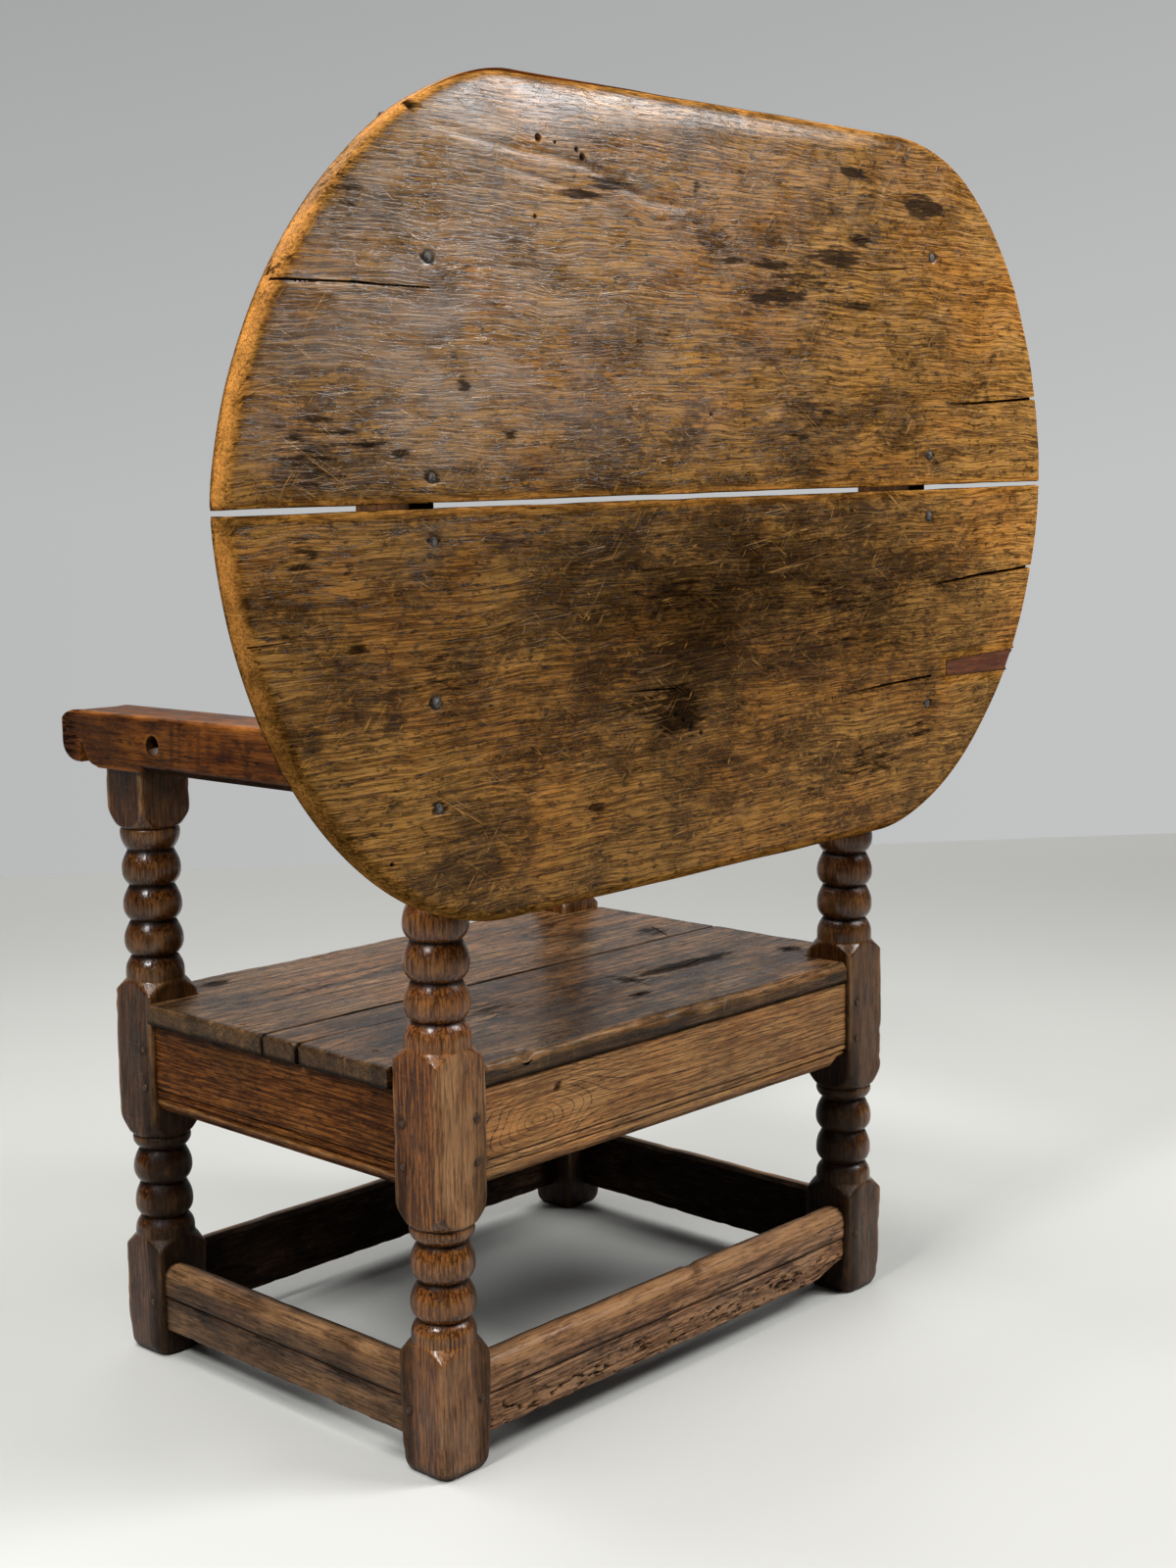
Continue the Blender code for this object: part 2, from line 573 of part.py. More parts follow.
def cleat(name, sign):
    """One cleat under the top, bored for the pivot peg, the lock peg and the nails."""
    seat = UNDERSIDE_Y - FIT
    low = TOP_MIDDLE_Z - CLEAT_LENGTH / 2
    high = TOP_MIDDLE_Z + CLEAT_LENGTH / 2
    deep = seat - CLEAT_DEPTH
    tip = seat - CLEAT_END
    outline = [(seat, low), (seat, high), (tip, high), (deep, high - CLEAT_END_SLOPE),
               (deep, low + CLEAT_END_SLOPE), (tip, low)]
    faces = (sign * CLEAT_INNER_X, sign * (CLEAT_INNER_X + CLEAT_THICK))
    through = (sign * (CLEAT_INNER_X - CLEAT_THICK), sign * (CLEAT_INNER_X + CLEAT_THICK * 2))
    piece = prism(name, outline, "X", *faces)
    cut(piece, [hole("pivot_hole", "X", PIVOT.yz, PIVOT_R + RUN, *through, PIVOT_SIDES)])
    lock = (PIVOT.y, PIVOT.z + PIVOT.y - LOCK_Y)
    cut(piece, [hole("lock_hole", "X", lock, LOCK_HOLE_R, *through, PIVOT_SIDES)])
    return cut(piece, nail_holes(sign))


def rim_corner(corner, inset):
    """A quarter of a top board's outline, from its end to its long side, drawn in by an inset."""
    straight, power = corner
    end = TOP_LENGTH / 2 - straight
    half = TOP_WIDTH / 2
    seam = TOP_SEAM / 2
    first = math.asin((seam / half) ** (power / 2))
    points = [(TOP_LENGTH / 2 - inset, seam)]
    for step in range(1, END_STEPS + 1):
        angle = first + (math.pi / 2 - first) * step / END_STEPS
        cosine = max(math.cos(angle), 0)
        sine = math.sin(angle)
        normal = Vector((cosine ** (2 - 2 / power) / end, sine ** (2 - 2 / power) / half)).normalized()
        points.append((straight + end * cosine ** (2 / power) - normal.x * inset,
                       half * sine ** (2 / power) - normal.y * inset))
    return points


def rim_ring(sign, inset, depth):
    """The outline of one top board, drawn in from its outer edge, at a depth above the underside."""
    level = "upper" if sign > 0 else "lower"
    outline = rim_corner(TOP_CORNERS["left", level], inset)
    outline += [(-u, w) for u, w in reversed(rim_corner(TOP_CORNERS["right", level], inset))]
    ring = []
    for u, w in outline:
        w *= sign
        x = u * math.cos(TOP_SKEW) + w * math.sin(TOP_SKEW)
        z = TOP_MIDDLE_Z - u * math.sin(TOP_SKEW) + w * math.cos(TOP_SKEW)
        ring.append(Vector((x, UNDERSIDE_Y + depth, z)))
    return ring


def top_board(name, sign):
    """One board of the top, with its rounded rim."""
    rim = [(RIM_UNDER, 0), (0, RIM_UNDER), (0, TOP_THICK - RIM_OVER)]
    rim += [(RIM_OVER / 3, TOP_THICK - RIM_OVER / 3), (RIM_OVER, TOP_THICK)]
    return loft(name, [rim_ring(sign, inset, depth) for inset, depth in rim])


def patch_wedge(grow):
    """The wedge of the repair slip, running out past the board's right edge."""
    middle = TOP_MIDDLE_Z - PATCH_DROP
    inner = PATCH_INNER / 2 + grow
    outer = PATCH_OUTER / 2 + grow
    outline = [(-PATCH_X + grow, middle - inner), (-PATCH_X + grow, middle + inner),
               (-TOP_LENGTH / 2, middle + outer), (-TOP_LENGTH / 2, middle - outer)]
    return prism("wedge", outline, "Y", UNDERSIDE_Y - TOP_THICK, TOP_FACE_Y + TOP_THICK)


def build_frame(parent):
    """Every piece that stands still."""
    oak = material("frame_oak", (0.115, 0.048, 0.018), 0.38)
    seat_oak = material("seat_oak", (0.105, 0.075, 0.052), 0.36)
    arm_oak = material("arm_oak", (0.125, 0.045, 0.016), 0.36)
    peg_oak = material("peg_oak", (0.075, 0.034, 0.015), 0.5)
    for corner, sign_x, sign_y in corner_places():
        finish(leg(f"{corner}_leg", sign_x, sign_y), oak, parent, smooth=True)
    bars(oak, parent)
    pegs(peg_oak, parent)
    finish(seat_board("front_seat_board", -1, False), seat_oak, parent)
    finish(seat_board("rear_seat_board", 1, True), seat_oak, parent)
    for side, sign in (("left", 1), ("right", -1)):
        finish(arm(f"{side}_arm", sign), arm_oak, parent)
        finish(pivot_peg(f"{side}_pivot_peg", sign), peg_oak, parent, smooth=True)


def build_top(parent):
    """Every piece that tilts."""
    top_oak = material("top_oak", (0.205, 0.118, 0.050), 0.34)
    cleat_oak = material("cleat_oak", (0.090, 0.042, 0.018), 0.5)
    patch_oak = material("patch_oak", (0.135, 0.040, 0.018), 0.4)
    iron = material("nail_iron", (0.060, 0.050, 0.045), 0.55, 0.8)
    upper = cut(top_board("upper_top_board", 1), nail_holes())
    finish(upper, top_oak, parent)
    patch = combine(top_board("edge_patch", -1), patch_wedge(0), "INTERSECT")
    finish(patch, patch_oak, parent)
    lower = cut(top_board("lower_top_board", -1), nail_holes() + [patch_wedge(FIT)])
    finish(lower, top_oak, parent)
    for side, sign in (("left", 1), ("right", -1)):
        finish(cleat(f"{side}_cleat", sign), cleat_oak, parent)
    nails(iron, parent)


def empty(name, place, parent=None):
    """A bare reference point."""
    point = bpy.data.objects.new(name, None)
    point.location = place
    point.parent = parent
    bpy.context.collection.objects.link(point)
    return point


def main():
    """Build the whole part."""
    clear_scene()
    middle = empty("frame_middle", SHIFT)
    top_axis = empty("top_axis", PIVOT, middle)
    build_frame(middle)
    build_top(top_axis)


main()
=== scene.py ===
"""Looks of the oak chair-table: worn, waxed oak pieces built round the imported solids.

Metres, +Z up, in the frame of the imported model. The sitter faces -Y and the sitter's left is +X.
"""

import functools
import itertools
import math

import bmesh
import bpy
import numpy as np
from mathutils import Matrix, Vector
from mathutils.geometry import delaunay_2d_cdt

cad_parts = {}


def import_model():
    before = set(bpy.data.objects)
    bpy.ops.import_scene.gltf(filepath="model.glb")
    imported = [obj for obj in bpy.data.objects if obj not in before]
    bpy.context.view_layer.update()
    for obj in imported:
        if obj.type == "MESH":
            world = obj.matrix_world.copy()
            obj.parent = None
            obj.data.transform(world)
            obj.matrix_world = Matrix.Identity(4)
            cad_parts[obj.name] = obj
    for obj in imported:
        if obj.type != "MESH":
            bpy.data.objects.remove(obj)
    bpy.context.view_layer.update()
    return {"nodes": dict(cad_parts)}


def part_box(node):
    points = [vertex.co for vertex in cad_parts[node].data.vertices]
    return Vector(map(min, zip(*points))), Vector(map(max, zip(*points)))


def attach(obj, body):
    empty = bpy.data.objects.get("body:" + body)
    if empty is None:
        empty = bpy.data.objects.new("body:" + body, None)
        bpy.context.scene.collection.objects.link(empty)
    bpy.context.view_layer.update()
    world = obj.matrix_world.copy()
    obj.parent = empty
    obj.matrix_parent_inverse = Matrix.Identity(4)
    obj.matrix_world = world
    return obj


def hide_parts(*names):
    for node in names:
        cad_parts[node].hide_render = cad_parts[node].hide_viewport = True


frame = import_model()


def mm(values):
    """Millimetres as metres."""
    return np.array(values) / 1000


# Levels of a leg, from the floor up
FOOT_TOP = 0.119
LOWER_NECKS = (0.1575, 0.1975, 0.2375)
TAIL_TOP = 0.254
SEAT_BLOCK = (0.281, 0.417)
UPPER_NECKS = (0.4605, 0.5005, 0.5405, 0.5805)
COLLAR_TOP = 0.606
TOP_BLOCK_LOW = 0.633
SHOULDER = 0.017
BOBBIN_R = 0.0331
NECK_DEPTH = 0.0078
BELLY = 0.007             # extra height of the rounding under a block
CLEAR_R = 0.0482          # turning radius that just misses the blank's corners
SQUARE_R = CLEAR_R * 1.2
# Painted shade on the legs' inner faces under the seat
LEG_UNDER_SEAT_SHADE = 0.75
# Darkening of each leg: partly its wood, partly painted shade on the front-left leg under its arm and on the
# rear-right leg where the light falls off
LEG_SHADE = {"front_left": 0.75, "front_right": 0.5, "rear_left": -0.5, "rear_right": 0.65}
LEG_BLEACH = {"front_left": 0.2, "front_right": 0.2, "rear_left": 0.9, "rear_right": 0.2}
MIDDLE_Y = (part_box("front_left_leg")[0].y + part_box("rear_left_leg")[1].y) / 2

# Sections of rails and stretchers: depth behind the outer face and height above the lower edge
RAIL_FRONT = mm([
    (1.2, 98.5), (0.3, 97.5), (0, 96), (0, 24.6), (0.4, 23.7), (2.4, 22.6), (0.5, 21.4), (0, 20.6),
    (0.1, 15.6), (0.6, 15), (2.6, 14.6), (2.4, 13.8), (1, 12.6), (0.4, 10.8), (0.2, 9), (0.5, 7), (1.3, 5.2),
    (2.5, 4), (3.6, 3.5), (3.7, 1), (4.6, 0)])
RAIL_BACK = mm([(26, 0), (26, 98.5)])
RAIL_LINE = 0.0226        # height of the incised line
RAIL_QUIRK = 0.0147       # height of the groove over the bead
RAIL_BEAD = 0.0095
RAIL_RING = 0.0062        # width of a growth ring
STRETCHER_FRONT = mm([
    (15, 81.5), (10.5, 80.8), (6.6, 78.6), (3.4, 75.2), (1.4, 70.6), (0.4, 65.5), (0.2, 60), (0.3, 46.2),
    (0.8, 44.5), (3, 42.8), (1.6, 40.5), (1.2, 38.5), (1.2, 6), (2.2, 2.2), (5, 0)])
STRETCHER_BACK = mm([(28, 0), (28, 77), (23.5, 81.5)])
STRETCHER_TOP = 0.0815
STRETCHER_LINE = 0.0428

# Top, as part of the whole oval: along and across the boards from its middle
TOP_LENGTH = 1.264
TOP_WIDTH = 0.786
TOP_CORNERS = {("left", 1): (0.28, 1.72), ("right", 1): (0.33, 2.0),
               ("left", -1): (0.32, 1.9), ("right", -1): (0.29, 1.8)}
TOP_SKEW = math.radians(1.13)
TOP_SEAM = 0.0045
RIM_OVER = 0.0085
RIM_UNDER = 0.003
PATCH = ((-0.418, 0.018), (-0.632, 0.029))    # inner and outer end of the slip, and its widths there
PATCH_DROP = 0.215
PATCH_GAP = 0.0004

# Origin of the top on its underside, and its directions along, across and out
UPPER_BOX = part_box("upper_top_board")
TOP_ORIGIN = (0, UPPER_BOX[0].y, (UPPER_BOX[1].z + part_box("lower_top_board")[0].z) / 2)
TOP_COS, TOP_SIN = math.cos(TOP_SKEW), math.sin(TOP_SKEW)
TOP_AXES = ((TOP_COS, 0, -TOP_SIN), (TOP_SIN, 0, TOP_COS), (0, 1, 0))
TOP_THICK = UPPER_BOX[1].y - UPPER_BOX[0].y

# Arms and cleats
HOOK_UPPER = (0.033, 0.013)
HOOK_LOWER = (0.029, 0.023)
HOOK_RISE = 0.004
HOOK_FLAT = 0.006
NOTCH_LEAN = 0.002
HOOK_NOTCH = 0.026
HOOK_MOUTH = 0.017
CUSP_LENGTH = 0.019
CUSP_RISE = 0.006
ARM_CHAMFER = 0.009
CHAMFER_STOP = 0.004
ARM_HEEL = 0.003
LOCK_HOLE_R = 0.0108
LOCK_HOLE_BACK = 0.0305
PIVOT_SHANK = 0.68        # as a part of the peg's head
CLEAT_SLOPE = 0.05
CLEAT_TIP = 0.03

# Seat
NOTCH_GAP = 0.001
SPLIT_Y = MIDDLE_Y + 0.061
SPLIT_MOUTH = 0.006
SPLIT_LENGTH = 0.075
SPLIT = ((0, -0.5), (0.010, -0.42), (0.024, -0.20), (0.045, -0.22), (SPLIT_LENGTH, 0), (0.045, 0.02),
         (0.02, 0.3), (0, 0.5))
NICK_X = 0.241
# Tone of each seat board, partly painted: the rear one darkened as a painted reflection of the top, the front
# one lightened, partly as painted light
SEAT_TONE_AND_REFLECTION = {"front": -0.9, "rear": 0.35}

# Numbers that scramble a cell's place to its noise
HASH_STEPS = np.array((374761393, 668265263, 1440662683))
HASH_SEED = 982451653
HASH_MIX = 1274126177
HASH_RANGE = 0xFFFF

# Parts of a board's mesh
FACE, WALLS, BACK = 0, 1, 2
HOLE_SIDES = 28
HOLE_RIM = 0.0012


def noise(seed, *columns, shift=0.0):
    """Smooth noise from -1 to 1 with cells one unit wide, at points given by one to three columns."""
    places = np.zeros((len(columns[0]), 3))
    places[:, :len(columns)] = np.column_stack(columns)
    places += shift
    cell = np.floor(places).astype(np.int64)
    part = places - cell
    part = part * part * (3 - 2 * part)
    total = 0
    for corner in itertools.product((0, 1), repeat=3):
        code = (cell + corner) @ HASH_STEPS + seed * HASH_SEED
        code = (code ^ (code >> 13)) * HASH_MIX
        code = (code ^ (code >> 16)) & HASH_RANGE
        total = total + np.prod(np.where(corner, part, 1 - part), axis=1) * (code / (HASH_RANGE / 2) - 1)
    return total


def smooth(low, high, value):
    """Smooth rise from 0 at low to 1 at high."""
    part = np.clip((value - low) / (high - low), 0, 1)
    return part * part * (3 - 2 * part)


def bell(away, wide):
    """Smooth hump of a half width."""
    return np.exp(-(away / wide) ** 2)


def most(*fields):
    """The highest of some fields at each point."""
    return functools.reduce(np.maximum, fields)


def resample(points, step):
    """Points along an open line at about even steps, keeping its corners."""
    points = np.asarray(points, float)
    made = [points[:1]]
    for start, end in zip(points, points[1:]):
        count = max(1, round(np.linalg.norm(end - start) / step))
        made.append(start + (end - start) * (np.arange(1, count + 1) / count)[:, None])
    return np.concatenate(made)


def even(points, step):
    """Points along a line at even steps."""
    done = np.concatenate([[0], np.cumsum(np.linalg.norm(np.diff(points, axis=0), axis=1))])
    wanted = np.linspace(0, done[-1], round(done[-1] / step))
    return np.stack([np.interp(wanted, done, column) for column in points.T], 1)


def arc(centre, radii, start, end, steps):
    """Points of an arc with two radii, between angles in degrees."""
    angles = np.radians(np.linspace(start, end, steps + 1))
    return np.stack([centre[0] + radii[0] * np.cos(angles), centre[1] + radii[1] * np.sin(angles)], 1)


def line_distance(points, line, ends):
    """Distance of points to a line, and the line's strength there, which runs between those of its ends."""
    best = np.full(len(points), np.inf)
    part = np.zeros(len(points))
    steps = np.linalg.norm(np.diff(line, axis=0), axis=1)
    done = np.concatenate([[0], np.cumsum(steps)])
    for number, (start, end) in enumerate(zip(line, line[1:])):
        run = end - start
        share = np.clip(((points - start) @ run) / max(run @ run, 1e-12), 0, 1)
        gap = np.linalg.norm(points - start - share[:, None] * run, axis=1)
        nearer = gap < best
        best[nearer] = gap[nearer]
        part[nearer] = ((done[number] + share * steps[number]) / done[-1])[nearer]
    return best, ends[0] + (ends[1] - ends[0]) * part


def reach(points, loops, values):
    """Distance of points to closed loops, the loops' values there, and which points lie inside."""
    starts = np.concatenate(loops)
    ends = np.concatenate([np.roll(loop, -1, 0) for loop in loops])
    after = np.concatenate([np.roll(value, -1) for value in values])
    before = np.concatenate(values)
    run = ends - starts
    length = np.maximum((run ** 2).sum(1), 1e-14)
    slope = np.where(abs(run[:, 1]) > 1e-12, run[:, 1], 1e-12)
    found = []
    for chunk in np.array_split(points, max(1, len(points) * len(starts) // 4_000_000)):
        rel = chunk[:, None] - starts
        share = np.clip((rel * run).sum(2) / length, 0, 1)
        gap = np.linalg.norm(rel - share[..., None] * run, axis=2)
        best = gap.argmin(1)
        rows = np.arange(len(chunk))
        here = share[rows, best]
        level = chunk[:, None, 1]
        spans = (starts[:, 1] > level) != (ends[:, 1] > level)
        crossing = starts[:, 0] + run[:, 0] * (level - starts[:, 1]) / slope
        inside = (spans & (chunk[:, None, 0] < crossing)).sum(1) % 2 == 1
        found.append((gap[rows, best], before[best] * (1 - here) + after[best] * here, inside))
    return [np.concatenate(column) for column in zip(*found)]


def add(name, data):
    """Put a new object into the scene."""
    made = bpy.data.objects.new(name, data)
    bpy.context.scene.collection.objects.link(made)
    return made


# Attributes that the finish reads beside the grain's place; those a piece leaves out are zero
LAYERS = ("ring", "wear", "dirt_and_shade", "stain", "shade", "polish", "bloom_and_painted_light")


def piece(node, body, surface, points, faces, layers, crease=38):
    """Make a piece that stands for a node, with its attributes and its finish."""
    mesh = bpy.data.meshes.new(f"{node}_detail")
    mesh.from_pydata(points, [], faces)
    grain = np.asarray(layers["grain"], np.float32)
    mesh.attributes.new("grain", "FLOAT_VECTOR", "POINT").data.foreach_set("vector", grain.ravel())
    for name in LAYERS:
        values = np.broadcast_to(layers.get(name, 0.0), len(points)).astype(np.float32)
        mesh.attributes.new(name, "FLOAT", "POINT").data.foreach_set("value", values)
    shape = bmesh.new()
    shape.from_mesh(mesh)
    bmesh.ops.recalc_face_normals(shape, faces=shape.faces)
    shape.to_mesh(mesh)
    shape.free()
    mesh.shade_smooth()
    mesh.set_sharp_from_angle(angle=math.radians(crease))
    mesh.materials.append(surface)
    made = add(mesh.name, mesh)
    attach(made, body)
    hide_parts(node)


def lift(layers, name, values):
    """Raise a layer to values where they are higher."""
    layers[name] = np.maximum(layers.get(name, 0.0), values)


def skin(rows, columns):
    """Faces of a tube made of rows of points, each row a closed ring, capped at both ends."""
    index = np.arange(rows * columns).reshape(rows, columns)
    after = np.roll(index, -1, 1)
    quads = np.stack([index[:-1], after[:-1], after[1:], index[1:]], -1).reshape(-1, 4)
    return quads.tolist() + [index[0].tolist(), index[-1].tolist()]


def inward(loop):
    """Unit normals of a closed loop, to the left of its direction."""
    run = np.roll(loop, -1, 0) - np.roll(loop, 1, 0)
    run /= np.maximum(np.linalg.norm(run, axis=1, keepdims=True), 1e-12)
    return np.stack([-run[:, 1], run[:, 0]], 1)


def fill(border, edges, loops, values, inner):
    """Triangles of the area inside closed loops, through the border's points and inner ones."""
    flat = np.concatenate([border, inner])
    made = delaunay_2d_cdt([Vector(point) for point in flat], edges, [], 0, 1e-7)
    points = np.array([tuple(point) for point in made[0]])
    triangles = np.array(made[2])
    kept = np.full(len(flat), -1)
    for number, sources in enumerate(made[3]):
        kept[sources] = number
    middles = points[triangles].mean(1)
    return points, triangles[reach(middles, loops, values)[2]], kept[:len(border)]


def cells(low, high, step):
    """Points of a staggered grid over a rectangle."""
    rows = []
    for number, y in enumerate(np.arange(low[1], high[1], step * 0.87)):
        xs = np.arange(low[0] + step / 2 * (number % 2), high[0], step)
        rows.append(np.stack([xs, np.full(len(xs), y)], 1))
    return np.concatenate(rows)


def slab(outline, rims, thick, spacing, holes=(), dense=None, back_rim=0.002, wall_rows=3):
    """A board of an outline, rounded over at its rims. Gives points as along, across and up from
    its back, faces, the distance to the rim and the part each point belongs to."""
    loops = [outline] + [arc(centre, (radius, radius), 360, 0, HOLE_SIDES)[:-1] for centre, radius in holes]
    values = [rims] + [np.full(HOLE_SIDES, HOLE_RIM)] * len(holes)
    border = np.concatenate(loops)
    rim = np.concatenate(values)
    normals = np.concatenate([inward(loop) for loop in loops])
    starts = np.cumsum([0] + [len(loop) for loop in loops])
    ahead = np.concatenate([np.roll(np.arange(*span), -1) for span in zip(starts, starts[1:])])
    edges = np.stack([np.arange(len(border)), ahead], 1).tolist()
    points, faces, gaps, zones, rows = [], [], [], [], []

    def store(places, gap, zone):
        start = sum(map(len, points))
        points.append(places)
        gaps.append(gap)
        zones.append(np.full(len(places), zone))
        return start

    for zone, step in ((FACE, spacing), (BACK, max(spacing, 0.016))):
        front = zone == FACE
        radius = rim if front else np.full(len(rim), back_rim)
        inner = []
        for share in ((0.1, 0.35, 0.7, 1.1) if front else (0.3, 1.1)):
            ring = border + normals * (radius * share)[:, None]
            gap, _, inside = reach(ring, loops, values)
            inner.append(ring[inside & (gap > radius * share * 0.85)])
        grid = cells(border.min(0), border.max(0), step)
        gap, local, inside = reach(grid, loops, values)
        inner.append(grid[inside & (gap > (local if front else back_rim) * 1.1 + step * 0.45)])
        if front and dense is not None:
            gap, _, inside = reach(dense, loops, values)
            inner.append(dense[inside & (gap > 0.0006)])
        flat, triangles, kept = fill(border, edges, loops, values, np.concatenate(inner))
        gap, local, _ = reach(flat, loops, values)
        gap[kept] = 0
        local = np.maximum(local, 1e-6) if front else back_rim
        drop = local - np.sqrt(np.maximum(local ** 2 - np.maximum(local - gap, 0) ** 2, 0))
        start = store(np.column_stack([flat, thick - drop if front else drop]), gap, zone)
        faces += (triangles + start).tolist()
        rows.append(kept + start)
    upper, lower = (np.concatenate(points)[row] for row in rows)
    for number in range(1, wall_rows + 1):
        share = number / (wall_rows + 1)
        start = store(upper * (1 - share) + lower * share, np.zeros(len(border)), WALLS)
        rows.insert(-1, start + np.arange(len(border)))
    for first, second in zip(rows, rows[1:]):
        faces += np.stack([first, first[ahead], second[ahead], second], 1).tolist()
    return np.concatenate(points), faces, np.concatenate(gaps), np.concatenate(zones)


class Field:
    """An output of a shader node; sums with it make further nodes."""

    def __init__(self, graph, socket):
        self.graph = graph
        self.socket = socket

    def __add__(self, other):
        return self.graph.math("ADD", self, other)

    def __sub__(self, other):
        return self.graph.math("SUBTRACT", self, other)

    def __mul__(self, other):
        return self.graph.math("MULTIPLY", self, other)

    def times(self, factor, plus):
        return self.graph.math("MULTIPLY_ADD", self, factor, plus)

    def highest(self, other):
        return self.graph.math("MAXIMUM", self, other)

    def held(self):
        """The same field, held between 0 and 1."""
        self.socket.node.use_clamp = True
        return self

    def rise(self, low, high, start=0.0, end=1.0, kind="SMOOTHSTEP"):
        """From start where the field is low to end where it is high."""
        inputs = {0: self, 1: low, 2: high, 3: start, 4: end}
        return self.graph.node("ShaderNodeMapRange", inputs, interpolation_type=kind)


class Graph:
    """The nodes of a material or a world, made by short calls."""

    def __init__(self, owner):
        owner.use_nodes = True
        self.owner = owner
        self.tree = owner.node_tree
        self.shader = self.tree.nodes.get("Principled BSDF")

    def feed(self, node, inputs):
        """Link a node's inputs to fields, or set their values."""
        for key, value in inputs.items():
            socket = node.inputs[key]
            if isinstance(value, Field):
                self.tree.links.new(value.socket, socket)
            else:
                socket.default_value = (*value, 1.0) if socket.type == "RGBA" else value

    def node(self, kind, inputs, output=0, **settings):
        """One output of a new node."""
        made = self.tree.nodes.new(kind)
        for name, value in settings.items():
            setattr(made, name, value)
        self.feed(made, inputs)
        return Field(self, made.outputs[output])

    def math(self, operation, *values):
        return self.node("ShaderNodeMath", dict(enumerate(values)), operation=operation)

    def attribute(self, name, output="Fac"):
        return self.node("ShaderNodeAttribute", {}, output, attribute_name=name)

    def noise(self, place, scale, detail=2.0, rough=0.5, distortion=0.0):
        """Noise with a scale along, across and up; the last one given also stands for those left out."""
        scale = (*scale, scale[-1])[:3]
        inputs = {"Vector": self.node("ShaderNodeVectorMath", {0: place, 1: scale}, operation="MULTIPLY"),
                  "Scale": 1.0, "Detail": detail, "Roughness": rough, "Distortion": distortion}
        return self.node("ShaderNodeTexNoise", inputs, "Fac")

    def mix(self, share, first, second, blend="MIX"):
        inputs = {0: share, 6: first, 7: second}
        return self.node("ShaderNodeMix", inputs, 2, data_type="RGBA", blend_type=blend)

    def bump(self, strength, distance, height):
        return self.node("ShaderNodeBump", {"Strength": strength, "Distance": distance, "Height": height})

    def rays(self):
        """Whether the camera sees a place, and whether it sees it straight or in a gloss."""
        kinds = ("Is Camera Ray", "Is Glossy Ray", "Is Transmission Ray")
        camera, glossy, through = (self.node("ShaderNodeLightPath", {}, kind) for kind in kinds)
        return camera, (camera + (glossy + through)).held()


WARM = (1.06, 0.82, 0.60)
# Grey of wax bloom, also painted sheen on the top and painted light inside the lock hole
BLOOM_AND_LIGHT_GREY = (0.30, 0.25, 0.22)
# Near black of dirt, also painted shade in recesses, gaps, joints and hidden sides
DIRT_AND_SHADE_BLACK = (0.005, 0.003, 0.002)
GRAIN_DEPTH = 0.0007


def tint(colour, factor, plus=0.0):
    """A colour made lighter or darker."""
    return tuple(min(1, factor * part + plus) for part in colour)


